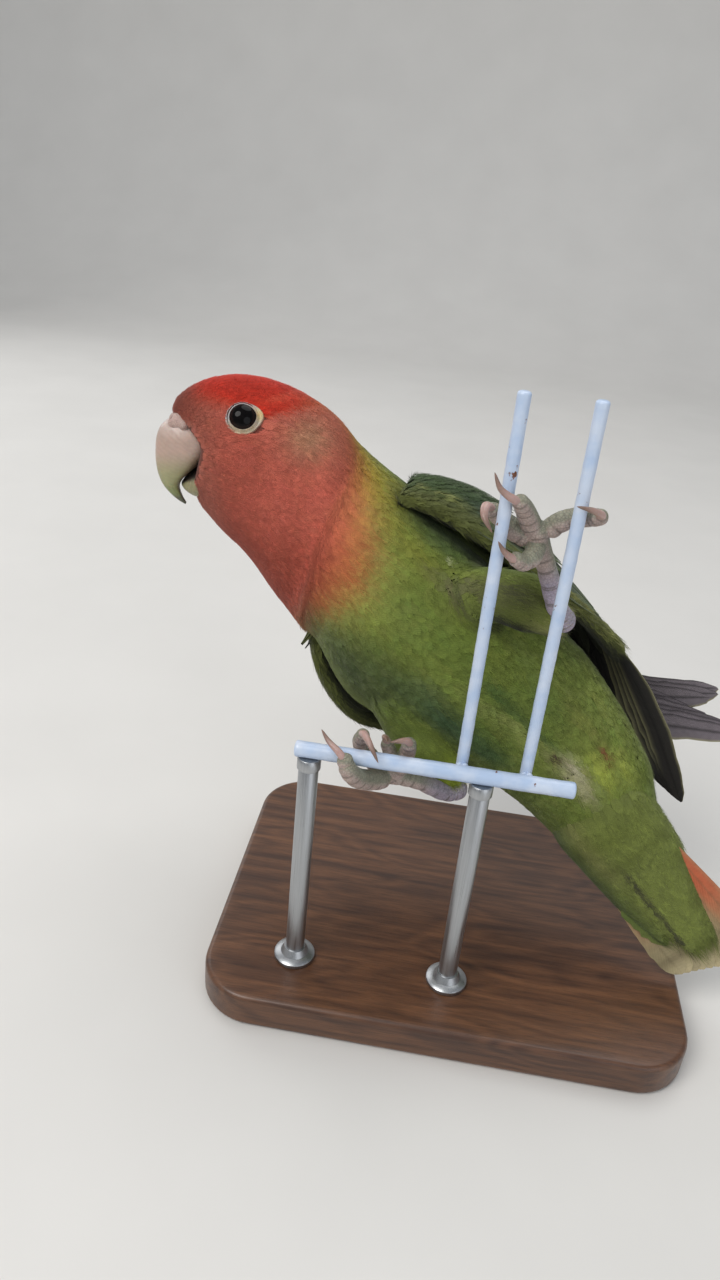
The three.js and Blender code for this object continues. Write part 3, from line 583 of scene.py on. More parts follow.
# Colours of the plumage
CROWN = (198, 46, 24)
FOREHEAD = (142, 62, 46)
BROW = (150, 76, 60)
LORE = (168, 92, 74)
CHEEK = (190, 94, 76)
THROAT = (166, 76, 58)
EAR = (170, 130, 98)
RUFFLE = (216, 110, 84)
BILL_EDGE = (178, 140, 126)
NAPE_ORANGE = (176, 92, 40)
NAPE_YELLOW = (162, 146, 28)
BREAST_ORANGE = (184, 98, 56)
BREAST_YELLOW = (142, 146, 68)
BELLY = (106, 120, 48)
BACK = (70, 100, 40)
RUMP_BLUE = (60, 124, 178)
# Soft patches on the body, some of them painted shade and painted highlight: u, angle, length,
# width in degrees, colour, strength
PATCHES_AND_PAINTED_LIGHT = [
    (47, 80, 6, 16, (156, 146, 34), 0.7),
    (58, 52, 8, 12, (132, 134, 44), 0.6),
    (60, 66, 7, 10, (88, 110, 60), 0.7),
    (64, 18, 6, 12, (112, 126, 58), 0.5),
    (72, 24, 6, 9, (96, 114, 42), 0.6),
    (50, -44, 6, 14, (86, 92, 42), 0.7),
    (62, -31, 8, 16, (70, 84, 46), 0.8),
    (68, -15, 7, 10, (80, 94, 52), 0.7),
    (73, -4, 4, 6, (86, 98, 56), 0.7),
    (79, -12, 7, 8, (62, 86, 54), 0.85),
    (88, -14, 6, 9, (64, 90, 50), 0.8),
    # painted shade in the hollow above the right flank's fold
    (84, 19, 6, 5, (68, 90, 42), 0.8),
    (94, 16, 6, 4, (66, 84, 38), 0.8),
    # painted highlight along the lit crest of that fold
    (80, 7, 4, 3, (128, 136, 72), 0.7),
    (89, 8, 7, 3.2, (136, 144, 76), 0.85),
    (99, 9, 5, 4, (132, 136, 76), 0.7),
    (79, 36, 6, 9, (104, 118, 42), 0.6),
    (90, 36, 7, 9, (88, 106, 42), 0.7),
    (99, 46, 6, 10, (124, 128, 58), 0.6),
    (65.5, 46, 4.5, 3.6, (92, 92, 62), 0.8),
    (70, 51, 3.5, 3.2, (78, 78, 56), 0.85),
    # painted shadow on the body under the left wing's leading edge
    (54, 76, 8, 5, (38, 52, 34), 0.75),
    (66, 78, 8, 6, (34, 46, 32), 0.75),
    (88, 78, 6, 8, (104, 116, 58), 0.6),
    (100, 72, 8, 10, (132, 142, 66), 0.6),
    (105, 15, 4, 8, (186, 176, 150), 0.85),
    (110, 12, 5, 8, (168, 164, 128), 0.7),
    (101, 10, 1.3, 2.5, (60, 44, 28), 0.8),
    (109, 33, 4.5, 8, (160, 168, 70), 0.8),
    (111, 53, 4, 9, (146, 154, 66), 0.7),
    (107, 45, 1.6, 3, (118, 62, 38), 0.7),
    (63.5, 59, 0.6, 1.3, (206, 208, 180), 0.7),
    (112, 100, 8, 14, (146, 154, 74), 0.6),
]
PATCH_GAIN = 1.15
# The lower edge of the red cap on the head: how far forward, and how far up
CAP_FORWARD = [-20, -15, -12, -8, -3, 3, 8, 13]
CAP_UP = [7.5, 9.2, 10.2, 9.8, 9.2, 11.4, 12.6, 13]
# Where the red bib ends on the body: degrees round it, and u
BIB_ANGLE = [-130, -90, -60, -42, -18, 11, 29, 51, 65, 83, 110, 150, 190, 230]
BIB_EDGE = [40, 42, 44, 48, 53.5, 55.5, 53.5, 49, 45, 39, 35, 34, 37, 40]
# painted shade in the crease under the left thigh: on the body, then on the thigh's own lower edge
PAINTED_CREASE_SHADE = (28, 28, 18)
LEFT_THIGH_EDGE_SHADE = (30, 30, 20)
LEFT_TUFT = (176, 172, 118)
THIGH_COLOURS = {
    "left": ((120, 130, 58), (160, 158, 98)),
    "right": ((150, 166, 52), (180, 190, 76)),
}
THIGH_DOWN = unit(np.array((-0.35, 0.0, -0.94)))  # towards the left thigh's lower side


def head_tint(points):
    forward, up, _ = head_place(points)
    soft = np.interp(forward, [-12, 0, 8], [0.7, 0.7, 2.6])
    crown = np.array(CROWN, float)
    top = np.where(forward[..., None] > -2, mix(crown, FOREHEAD, smooth(forward, 7.5, 13)),
                   mix(crown, NAPE_ORANGE, smooth(-forward, 7, 18)))
    ruffle = bump(forward, -6.5, 3.2) * bump(up, 12.2 - 0.12 * (forward + 6.5), 0.55)
    return layered(
        CHEEK, points.shape,
        (LORE, smooth(forward, 3, 10) * 0.9),
        (BROW, smooth(forward, 6, 12) * smooth(up, 5, 10)),
        (THROAT, smooth(-up, 8, 22)),
        (top, smooth((up - np.interp(forward, CAP_FORWARD, CAP_UP)) / soft, -1, 1)),
        (EAR, 0.85 * bump(forward, -11.5, 5.0) * bump(up, 4.6, 4.2)),
        (RUFFLE, 0.6 * ruffle),
        (BILL_EDGE, 0.6 * smooth(past_face_edge(points), -2.4, -0.2) * smooth(up, 5.5, 8.5)),
    )


def plumage_tint(u, a, points):
    """The colour of the plumage at a place on the body, with painted shade in the thigh's crease,
    under the wing and above a flank fold, and a painted highlight on that fold.
    """
    angle = round_angle(a)
    past = u - np.interp(angle, BIB_ANGLE, BIB_EDGE)
    patches = [
        (colour, min(PATCH_GAIN * strength, 1) * bump(u, at, length) * bump(angle, turn, width))
        for at, turn, length, width, colour, strength in PATCHES_AND_PAINTED_LIGHT
    ]
    behind = smooth(angle, 84, 120) + smooth(-angle, 62, 95)
    nape = smooth(angle, 45, 75) * (1 - smooth(angle, 150, 190))
    body = layered(
        BELLY, points.shape,
        (BREAST_YELLOW, 1 - smooth(past, 1, 10)), *patches,
        (BACK, np.clip(behind, 0, 1)),
        (RUMP_BLUE, smooth(u, 92, 104) * smooth(angle, 125, 150) * (1 - smooth(angle, 215, 228))),
        (NAPE_YELLOW, bump(past, 2.5, 4.0) * nape),
        # painted shade in the crease under the thigh
        (PAINTED_CREASE_SHADE, 0.95 * thigh_shade(points) * smooth(u, 60, 66)),
    )
    face = mix(head_tint(points), BREAST_ORANGE, smooth(past, -13, -1) * smooth(u, 30, 42) * 0.85)
    face = mix(face, NAPE_ORANGE, smooth(past, -9, -1) * smooth(angle, 50, 80) * 0.8)
    return mix(face, body, smooth(past, -4.5, 4.0))


def thigh_place(points):
    """For the left thigh: how far along and outside it, and how much on its lower side."""
    k, middle, _, _, _ = line_frames(THIGHS["left"], 60)
    gaps = np.linalg.norm(points[..., None, :] - middle, axis=-1)
    near = gaps.argmin(-1)
    past = gaps.min(-1) - spread_over(k[near], THIGH_R)
    return k[near], past, unit(points - middle[near]) @ THIGH_DOWN


def thigh_shade(points):
    """How much painted shade the body's plumage gets in the crease along the thigh."""
    k, past, below = thigh_place(points)
    return (1 - smooth(past, 1.0, 3.0)) * smooth(below, 0.45, 0.75) * smooth(k, 0.25, 0.45)


def thigh_tint(side, k, points):
    """The body's own colour where the thigh leaves it, then paler to the ankle, with painted shade
    along the left thigh's lower edge.
    """
    upper, lower = THIGH_COLOURS[side]
    colour = mix(plumage_tint(*nearest_body_place(points), points), upper, smooth(k, 0.45, 0.8))
    colour = mix(colour, lower, smooth(k, 0.7, 1.0))
    if side == "left":
        along, _, below = thigh_place(points)
        # painted shade along the left thigh's lower edge, over the crease
        colour = mix(colour, LEFT_THIGH_EDGE_SHADE, 0.95 * smooth(below, 0.8, 0.93) * smooth(along, 0.2, 0.4))
        colour = mix(colour, LEFT_TUFT, 0.75 * bump(below, 0.45, 0.35) * smooth(along, 0.45, 0.8))
    return colour


# The skin: one closed surface round body and thighs

SKIN_VOXEL = 0.85
THIGH_INSET = -1.0  # the thigh's skin, from the outside of its feathers
SKIN_SHADE = 0.62  # painted shade: the skin is made darker than the feathers over it, for the shaded gaps between them


def skin_parts():
    u, a = mesh_grid(np.linspace(0, BODY_END, 126), circle(96))
    parts = [loft(form_point(u, a, relief(u, a) - coat_depth(u)))]
    k, a = mesh_grid(np.linspace(0, 1, 40), circle(32))
    return parts + [loft(thigh_point(thigh, k, a, THIGH_INSET)) for thigh in THIGHS]


def nearest_body_place(points):
    """u and angle of the closest place of the body's form, for each point."""
    u, a = mesh_grid(np.linspace(0, BODY_END, 126), circle(120))
    spots = form_point(u, a).reshape(-1, 3)
    tree = KDTree(len(spots))
    for i, spot in enumerate(spots):
        tree.insert(spot, i)
    tree.balance()
    found = np.array([tree.find(p)[1] for p in points])
    return u.ravel()[found], a.ravel()[found]


def make_skin(material):
    points, quads = remeshed(skin_parts(), SKIN_VOXEL, 10)
    u, a = nearest_body_place(points)
    weight = bump(u, 44, 8)
    for line in THIGHS.values():
        away = np.linalg.norm(points - np.array(line[1]), axis=1)
        weight = np.maximum(weight, 1 - smooth(away, 6, 12))
    points = eased(points, quads, weight, 50)
    sunk = 0.9 * np.maximum(past_face_edge(points) + 0.25, 0)
    points = points - HEAD_AXES[0] * sunk[:, None]
    tint = plumage_tint(u, a, points)
    even = eased(tint, quads, 1.0, 60)
    # the skin's colour times SKIN_SHADE is painted shade in the gaps between the feathers
    piece("plumage_body", ("head", "neck", "torso", "thigh_left", "thigh_right"), "skin", points,
          quads, None, material, mix(tint, even, bump(u, 44, 10)) * SKIN_SHADE, points)
    return points, quads, even


class Ground:
    """The skin's surface, to set feathers on."""

    def __init__(self, points, quads, tint):
        self.tint = tint[quads].mean(1)
        self.tree = BVHTree.FromPolygons(points.tolist(), quads.tolist())
        normals = eased(vertex_normals(points, quads), quads, 1.0, 16)
        self.normals = unit(normals[quads].mean(1))

    def nearest(self, points):
        """The nearest point of the skin, its face, and how far it is, for each point."""
        found = [self.tree.find_nearest(p) for p in points.reshape(-1, 3)]
        return (np.array([hit[i] for hit in found]) for i in (0, 2, 3))

    def settle(self, points):
        spots, faces, gaps = self.nearest(points)
        return (spots.reshape(points.shape), self.normals[faces].reshape(points.shape),
                gaps.reshape(points.shape[:-1]))

    def even_tint(self, points):
        """The evened colour of the skin below each point."""
        _, faces, _ = self.nearest(points)
        return self.tint[faces].reshape(points.shape)


class Laid:
    """Places that already lie on their ground, with its normals."""

    def __init__(self, normals):
        self.normals = normals

    def settle(self, points):
        return points, self.normals, np.zeros(points.shape[:-1])


# Small feathers: closed slender vanes of rings of three points, and finer barbs at their ends
VANE_S = np.array([0, 0.34, 0.6, 0.8, 0.93, 1.0])  # places along a vane
VANE_W = np.array([0.35, 0.85, 1.0, 0.82, 0.46, 0.10])  # its width there, as a share
VANE_RISE = np.array([-0.25, 0.35, 0.66, 0.88, 0.98, 1.0])  # its height there, as a share
VANE_SHADE = np.array([1.02, 0.98, 1.02])  # its edges are paler than its ridge
VANE_GAP = 2.6  # a vane is left out where its front is farther than this from the skin
RIDGE = 0.10
SHARP = 50  # degrees
UV_PATCH = 0.003
BARB_FACES = np.array([(0, 1, 2), (0, 2, 3), (2, 1, 3), (1, 0, 3)])
BARB_MAP = np.array([(0.3, 0.4), (0.7, 0.4), (0.5, 0.5), (0.5, 0.9)])
BARB_SAG = 38.0  # the radius in millimetres that barbs bend with


def vane_faces(rings):
    quads = []
    for left in range(0, 3 * rings - 3, 3):
        ridge, right = left + 1, left + 2
        quads += [(left, ridge, ridge + 3, left + 3), (ridge, right, right + 3, ridge + 3),
                  (right, left, left + 3, right + 3)]
    last = 3 * (rings - 1)
    return np.array(quads), np.array([(0, 2, 1), (last, last + 1, last + 2)])


def repeat_faces(template, count, step):
    rows = template[None] + step * np.arange(count)[:, None, None]
    return rows.reshape(-1, template.shape[1])


def small_vanes(ground, centres, half, lift, tint, uv, bow):
    """Vanes along rows of centre points. half, lift and uv hold one value for each.

    Their shading follows the ground below, turned a little over each vane by bow."""
    half, lift = (np.broadcast_to(v, len(centres)) for v in (half, lift))
    spots, normals, gaps = ground.settle(centres)
    kept = np.abs(gaps[:, :3]).max(1) < VANE_GAP
    spots, normals, half, lift, tint, uv = (
        v[kept] for v in (spots, normals, half, lift, tint, uv))
    middle = spots + normals * (lift[:, None] * VANE_RISE)[..., None]
    way = unit(np.gradient(middle, axis=1))
    across = unit(np.cross(way, normals))
    w = half[:, None] * VANE_W
    ridge = RIDGE * half[:, None] * np.minimum(1, VANE_W * 1.2)
    wide = across * w[..., None]
    rings = np.stack((middle - wide, middle + normals * ridge[..., None], middle + wide), 2)
    lengths = np.linalg.norm(middle[:, -1] - middle[:, 0], axis=-1)
    vane = np.zeros(rings.shape)
    vane[:, :, 0, 0], vane[:, :, 2, 0] = -w, w
    vane[..., 1] = (lengths[:, None] * VANE_S)[..., None]
    fringe = 1 + 0.10 * (VANE_S - 0.75)
    shade = tint[:, :, None] * fringe[:, None, None] * VANE_SHADE[:, None]
    turned = normals[:, :, None] + across[:, :, None] * (bow * np.array([-1, 0, 1.0]))[:, None]
    turned = unit(turned + (way * (0.6 * bow * VANE_S)[:, None])[:, :, None])
    patch = np.stack(np.broadcast_arrays([0, 0.5, 1.0], VANE_S[:, None]), -1)
    points, shade, vane, turned, maps = flat_rows(
        rings, shade, vane, turned, uv[:, None, None] + UV_PATCH * patch)
    quads, tris = (repeat_faces(faces, len(middle), rings[0].size // 3)
                   for faces in vane_faces(len(VANE_S)))
    batch = {"points": points, "quads": quads, "tris": tris, "tint": shade, "vane": vane,
             "uv": maps, "normals": turned}
    return batch, {"middle": middle, "way": way, "across": across, "normal": normals,
                   "half": half, "length": lengths, "tint": tint, "uv": uv}


def barbs(base, per, reach, width):
    """Thin closed slivers that lie over the ends of the vanes and run past their edges."""
    pick = np.repeat(np.arange(len(base["half"])), per)
    n = len(pick)
    s = random.uniform(0.15, 0.95, n)
    c = random.uniform(-1.0, 1.0, n)
    x = s * (len(VANE_S) - 1)
    low = np.minimum(x.astype(int), len(VANE_S) - 2)
    f = (x - low)[:, None]

    def at(key):
        return base[key][pick, low] * (1 - f) + base[key][pick, low + 1] * f

    half = base["half"][pick]
    edge = np.interp(x, np.arange(len(VANE_W)), VANE_W)
    normal, across, way = unit(at("normal")), unit(at("across")), unit(at("way"))
    start = at("middle") + across * (c * half * edge)[:, None]
    start = start + normal * (0.04 + 0.05 * half)[:, None]
    spread = (c * 0.28 + random.normal(0, 0.06, n))[:, None]
    run = unit(way + across * spread - normal * 0.02)
    length = base["length"][pick] * reach * random.uniform(0.7, 1.25, n)
    end = start + run * length[:, None] - normal * (length**2 / BARB_SAG)[:, None]
    w = (width * random.uniform(0.7, 1.3, n))[:, None]
    side = unit(np.cross(run, normal))
    points = np.stack((start - side * w, start + side * w, start + normal * w * 0.7, end), 1)
    shade = at("tint") * random.normal(1.01, 0.045, (n, 1))
    facing = unit(normal + across * (0.2 * c + random.normal(0, 0.05, n))[:, None])
    vane = np.zeros((n, 4, 3))
    vane[:, :, 0] = (c * half)[:, None]
    vane[:, 3, 1] = length
    points, vane, maps = flat_rows(points, vane, base["uv"][pick][:, None] + UV_PATCH * BARB_MAP)
    return {"points": points, "quads": np.zeros((0, 4), int),
            "tris": repeat_faces(BARB_FACES, n, 4), "tint": np.repeat(shade, 4, 0), "vane": vane,
            "uv": maps, "normals": np.repeat(facing, 4, 0)}


def coat_piece(slot, nodes, name, batches, material):
    out = {key: [] for key in batches[0]}
    start = 0
    for batch in batches:
        for key in out:
            out[key].append(batch[key] + start if key in ("quads", "tris") else batch[key])
        start += len(batch["points"])
    whole = {key: np.concatenate(rows) for key, rows in out.items()}
    piece(slot, nodes, name, material=material, sharp=SHARP, **whole)


def soft_coat(slot, name, material, vanes, per, width, reach=0.7, bow=0.16):
    """A piece of small feathers, each with per barbs. vanes holds what small_vanes takes."""
    batch, base = small_vanes(*vanes, bow)
    coat_piece(slot, (), name, [batch, barbs(base, per, reach, width)], material)


def spacing(u):
    return np.interp(u, [0, 6, 14, 26, 40, 60, 100, BODY_END],
                     [0.5, 0.62, 0.78, 0.98, 1.2, 1.42, 1.42, 1.4])


def eye_place(points, side):
    """Forward, rise and out from an eye's middle, along its leaning ring."""
    forward, up, left = head_place(points)
    up, out = up - EYE[1], side * left - EYE[2]
    c, s = math.cos(EYE_LEAN), math.sin(EYE_LEAN)
    return forward - EYE[0], up * c - out * s, out * c + up * s


def from_eye(forward, rise, out, side):
    c, s = math.cos(EYE_LEAN), math.sin(EYE_LEAN)
    up = EYE[1] + rise * c + out * s
    left = side * (EYE[2] + out * c - rise * s)
    return HEAD_CENTRE + np.stack((EYE[0] + forward, up, left), -1) @ HEAD_AXES


def eye_clear(points, way, length):
    """How much of its length each feather may have so that it stays off the bare eye ring."""
    clear = np.ones(len(points))
    for side in (1, -1):
        for share in np.linspace(0, 1.15, 8):
            forward, rise, out = eye_place(points + way * (length * share)[:, None], side)
            corner = np.where(forward < 0, 0.75 * bump(rise, 0.5, 1.1), 0)
            round_eye = (forward / (RING_OUTER + corner)) ** 2 + (rise / RING_OUTER) ** 2 < 1
            clear = np.where(round_eye & (out > 0), np.minimum(clear, share * 0.85), clear)
    return clear


def body_roots():
    """Roots of the small feathers in staggered rows, each u and angle."""
    rows_u, rows_a = [], []
    u, odd = 0.6, 0
    while u < BODY_END - 4:
        ring = form_point(np.full(73, u), np.linspace(0, FULL_TURN, 73))
        count = int(steps_along(ring).sum() / spacing(u))
        a = (np.arange(count) + 0.5 * odd) * FULL_TURN / count
        rows_u.append(u + random.uniform(-0.3, 0.3, count) * spacing(u))
        rows_a.append(a + random.uniform(-0.28, 0.28, count) * FULL_TURN / count)
        u += spacing(u) * 0.92
        odd = 1 - odd
    return np.concatenate(rows_u), np.concatenate(rows_a)


# The body's plumage in pieces: name, slot, where u starts and ends
ZONES = [("face", "head", 0, 9), ("cheeks", "head", 9, 17), ("head", "head", 17, 27),
         ("neck", "head", 27, 42), ("breast", "body", 42, 62), ("belly", "body", 62, 84),
         ("flank", "body", 84, 103), ("vent", "body", 103, BODY_END)]
HEAD_END = 27  # feathers are finer in front of this u


def body_coat(ground, material):
    u, a = body_roots()
    for name, slot, low, high in ZONES:
        pick = (u >= low) & (u < high)
        fine = high <= HEAD_END
        per, width, bow = (13, 0.038, 0.1) if fine else (17, 0.052, 0.15)
        soft_coat(f"plumage_{slot}", f"plumage_{name}", material,
                  zone_vanes(ground, u[pick], a[pick]), per, width, 0.75, bow)


def zone_vanes(ground, u, a):
    pitch = spacing(u)
    length = pitch * np.interp(u, [0, 20, 60], [3.0, 3.6, 4.3])
    length = length * random.uniform(0.88, 1.12, len(u))
    root = form_point(u, a)
    ahead = form_point(u + 1.0, a)
    stretch = np.maximum(np.linalg.norm(ahead - root, axis=1), 0.6)
    clear = eye_clear(root, unit(ahead - root), length)
    fits = (clear > 0.45) & (past_face_edge(root) < -0.15)
    u, a, pitch, root, stretch, length = (
        v[fits] for v in (u, a, pitch, root, stretch, length * clear))
    turn = random.normal(0, 0.05, len(u))
    run = u[:, None] + (length / stretch)[:, None] * VANE_S
    radius = np.linalg.norm(root - form_middle(u), axis=1)
    swing = a[:, None] + (turn * length / radius)[:, None] * VANE_S
    depth = coat_depth(u)
    centres = form_point(run, swing, relief(run, swing) - depth[:, None])
    tint = plumage_tint(run.ravel(), swing.ravel(), *flat_rows(centres)).reshape(centres.shape)
    tint = mix(tint, ground.even_tint(centres), bump(run, 44, 10))
    tint = tint * random.normal(1.0, 0.02, (len(u), 1, 1))
    tint = tint * (1 + random.normal(0, 0.01, (len(u), 1, 3)))
    lift = 0.62 * depth * random.uniform(0.9, 1.1, len(u))
    uv = np.stack((0.02 + 0.72 * u / BODY_END, 0.02 + 0.95 * (a / FULL_TURN % 1)), -1)
    return ground, centres, 0.86 * pitch, lift, tint, uv


THIGH_PITCH = 1.25


def thigh_vanes(ground, side, place_v):
    """Feathers down the thigh to the ankle, longer at its end."""
    size = steps_along(curve(THIGHS[side], np.linspace(0, 1, 30))).sum()
    rows_k, rows_a, odd = [], [], 0
    for k in np.arange(0.12, 0.99, THIGH_PITCH * 0.9 / size):
        count = int(FULL_TURN * spread_over(k, THIGH_R) / THIGH_PITCH)
        rows_k.append(k + random.uniform(-0.3, 0.3, count) * THIGH_PITCH / size)
        a = (np.arange(count) + 0.5 * odd) * FULL_TURN / count
        rows_a.append(a + random.uniform(-0.05, 0.05, count))
        odd = 1 - odd
    k, a = np.concatenate(rows_k), np.concatenate(rows_a)
    length = random.uniform(4.4, 5.8, len(k))
    run = np.clip(k[:, None] + (length / size)[:, None] * VANE_S, 0, 1.0)
    centres = thigh_point(side, run, a[:, None] + 0 * run, THIGH_INSET)
    tint = thigh_tint(side, k, centres[:, 0]) * random.normal(1.0, 0.025, (len(k), 1))
    uv = np.stack((0.78 + 0.18 * k, place_v + 0.4 * (a / FULL_TURN % 1)), -1)
    return ground, centres, 1.15, 0.9, np.repeat(tint[:, None], len(VANE_S), 1), uv


# Large feathers on wings and tail: closed plates that follow a guide sheet

def sheet(grid, flip=1.0, inner_rows=0):
    """A surface through rows of guide points: s from root to tip, t from the outer edge.

    Where inner_rows is given, s runs from 0 to 1 over that many last spaces between rows, and
    is under 0 over the rows in front of them."""
    grid = np.array(grid, float)
    rows, cols = grid.shape[:2]
    front = rows - 1 - inner_rows if inner_rows else 0
    e = 0.02

    def flat(s, t):
        s = (np.asarray(s, float) * (rows - 1 - front) + front) / (rows - 1)
        return np.einsum("...r,...c,rcx->...x", basis(rows, s), basis(cols, t), grid)

    def surface(s, t, h=0.0):
        """A point at height h, and how fast it moves with s and with t."""
        ds = (flat(s + e, t) - flat(s - e, t)) / (2 * e)
        dt = (flat(s, t + e) - flat(s, t - e)) / (2 * e)
        normal = unit(np.cross(ds, dt)) * flip
        point = flat(s, t) + normal * np.asarray(h)[..., None]
        return point, np.linalg.norm(ds, axis=-1), np.linalg.norm(dt, axis=-1)

    return surface


def plate_faces(rows, cols):
    """Faces of a closed plate: a grid of points over a like grid."""
    i, j = mesh_grid(np.arange(rows - 1), np.arange(cols - 1))
    a = (i * cols + j).ravel()
    top = np.stack((a, a + 1, a + cols + 1, a + cols), -1)
    half = rows * cols
    places = np.arange(half).reshape(rows, cols)
    rim = np.concatenate((places[0], places[1:, -1], places[-1, -2::-1], places[-2:0:-1, 0]))
    after = np.roll(rim, -1)
    walls = np.stack((rim, rim + half, after + half, after), -1)
    return np.concatenate((top, top[:, ::-1] + half, walls))


CELLS = 22  # of the bake map, along each of its sides: one for each large feather


def plate(quills, surface, s, t, high, low, k, c, tint, across, along):
    """Adds a closed plate between two heights. k and c are its own places along and across."""
    points = np.concatenate([surface(s, t, h)[0].reshape(-1, 3) for h in (high, low)])
    vane = np.stack((across.ravel(), along.ravel(), np.zeros(k.size)), -1)
    faces, _ = facing_out(points, plate_faces(*k.shape))
    k, c = k.ravel(), c.ravel() * 0.25
    corner = np.array((len(quills) % CELLS, len(quills) // CELLS)) / CELLS + 0.1 / CELLS
    maps = np.stack((np.concatenate((c + 0.25, c + 0.75)), np.concatenate((k, k))), -1)
    quills.append({"points": points, "quads": faces, "tris": np.zeros((0, 3), int), "tint": tint,
                   "vane": np.concatenate((vane, vane)), "uv": corner + maps * 0.8 / CELLS})


QUILL_TAPER = 0.6  # a quill's width at its root, as a share


def quill(quills, surface, path, half, rise, tint, rows=16, cols=9, thick=0.28, blunt=0.6,
          camber=0.12, roll=0.0, rachis=0.16, ragged=0.05, flip=False):
    """One large feather. path is a list of s and t, rise the height of its root and tip."""
    k = np.linspace(0, 1, rows)
    at = curve(path, k)
    ahead = curve(path, k + 0.05) - curve(path, k - 0.05)
    line, ls, lt = surface(at[:, 0], at[:, 1])
    run = np.hypot(ahead[:, 0] * ls, ahead[:, 1] * lt)
    ps, pt = -ahead[:, 1] * lt / run / ls, ahead[:, 0] * ls / run / lt
    rounded = np.sqrt(np.clip(1 - np.clip((k - blunt) / (1 - blunt), 0, 1) ** 2.6, 0, 1))
    w = half * between(QUILL_TAPER, 1, np.minimum(1, 2 * k)) * np.maximum(rounded, 0.10)
    wobble = 1 + ragged * random.normal(0, 1, (rows, 2)) * smooth(k, 0.25, 0.7)[:, None]
    k, c = mesh_grid(k, np.linspace(-1, 1, cols))
    reach = np.where(c < 0, wobble[:, :1], wobble[:, 1:]) * w[:, None] * c
    arch = (1 if flip else -1) * camber * np.abs(reach) * 0.5
    over = between(*rise, k) + roll * reach + arch
    ridge = rachis * bump(reach, 0, 0.3) * (1 - 0.7 * k)
    body = thick * (0.35 + 0.65 * (1 - np.abs(c) ** 2)) * (1 - 0.5 * k)
    s, t = at[:, :1] + ps[:, None] * reach, at[:, 1:] + pt[:, None] * reach
    vary = 1 + random.normal(0, 0.03)
    colours = [tint(k.ravel(), c.ravel(), top) for top in (True, False)]
    plate(quills, surface, s, t, over + ridge, over - body - 0.6 * ridge, k, c,
          np.concatenate(colours) * vary, reach, run_length(line)[:, None] + 0 * k)


LEFT_WING = [
    [on_body(50.6, 68, -1.2), on_body(49.4, 95, -1.2), on_body(48.4, 119, -1.2),
     on_body(48.4, 142, -1.4)],
    [on_body(52, 69, 3.4), on_body(51, 96, 4.2), on_body(50, 120, 3.6), on_body(50, 144, 2.0)],
    [on_body(69, 72, 7.4), on_body(70, 102, 9.0), on_body(69, 130, 6.0), on_body(68, 160, 3.2)],
    [(25.8, 6.8, 80.4), on_body(92, 114, 7.2), on_body(90, 145, 4.4), on_body(88, 172, 3.0)],
    [(39.2, 7.6, 63.6), (36.4, 12.6, 58.2), (31, 16.4, 52.4), (24.8, 17.6, 46.8)],
    [(49.6, 8.0, 42.2), (48.6, 9.4, 40.8), (47.4, 10.6, 39.4), (46.0, 11.6, 38)],
]
RIGHT_WING = [
    [on_body(48.6, -64, -1.4), on_body(48.4, -92, -1.2), on_body(48.4, -118, -1.2),
     on_body(48.4, -142, -1.4)],
    [on_body(50, -64, 1.8), on_body(50, -92, 3.6), on_body(50, -118, 3.6), on_body(50, -142, 2.0)],
    [on_body(70, -76, 4.8), on_body(69, -106, 5.6), on_body(67, -136, 4.6), on_body(65, -166, 3.2)],
    [on_body(91, -126, 5.2), on_body(88, -154, 6.2), on_body(83, -178, 7.4),
     on_body(77, -200, 6.6)],
    [(36.0, 22.2, 48.0), (35.5, 24.0, 53.6), (34.5, 25.0, 59.0), (32.5, 24.8, 64.4)],
    [(62.2, 18.4, 50.5), (62.2, 18.6, 55.7), (57.2, 19.3, 60.5), (52.4, 20.0, 65.4)],
]
WINGS = {"left": (LEFT_WING, 1.0), "right": (RIGHT_WING, -1.0)}
PRIMARY_TIPS = {
    "left": [(1.0, 0.15), (0.99, 0.3), (0.96, 0.42), (0.92, 0.52), (0.87, 0.6), (0.82, 0.68)],
    "right": [(1.0, 0.3), (0.97, 0.44), (0.9, 0.6), (0.86, 0.72), (0.97, 0.84), (1.0, 0.99)],
}
WING_GREEN = (56, 76, 34)
WING_EDGE = (88, 104, 48)
WING_LEAD = (88, 92, 42)
WING_BLUE = (34, 48, 60)
WING_BLACK = (38, 36, 36)
# the flight feathers' undersides: the left wing's near black is painted shade over the same
# underside that the right wing shows paler
WING_UNDER_LEFT_SHADED = {"left": (46, 43, 41), "right": (122, 114, 120)}
WING_LINING = (50, 52, 32)
LINING_SHADE = (38, 42, 32)
WEB_GREEN = (58, 84, 40)
WEB_EDGE = (166, 160, 122)
UNDER_RIM = (150, 146, 108)
PRIMARY_COVERT = (34, 42, 44)
PRIMARY_COVERT_EDGE = (84, 98, 48)
DOWN_PALE = (136, 136, 74)
DOWN_UNDER_SHADE = (36, 38, 24)


def covert_tint(t, blue):
    """Green with a paler fringe, yellower at the wing's leading edge."""
    lead = 0.6 * (1 - smooth(t, 0.02, 0.12))
    base = layered(WING_GREEN, (3,), (WING_LEAD, lead), (WING_BLUE, blue))

    def tint(k, c, top):
        if not top:
            return layered(WING_LINING, (*k.shape, 3))
        rim = np.clip(smooth(k, 0.72, 1.0) + 0.7 * smooth(np.abs(c), 0.6, 1.0), 0, 1)
        return layered(base, (*k.shape, 3), (base * 0.72, bump(k, 0.55, 0.35)),
                       (WING_EDGE, 0.5 * rim))

    return tint


def primary_covert_tint(k, c, top):
    return layered(PRIMARY_COVERT if top else WING_LINING, (*k.shape, 3),
                   (PRIMARY_COVERT_EDGE, 0.8 * smooth(-c, 0.35, 0.9)))


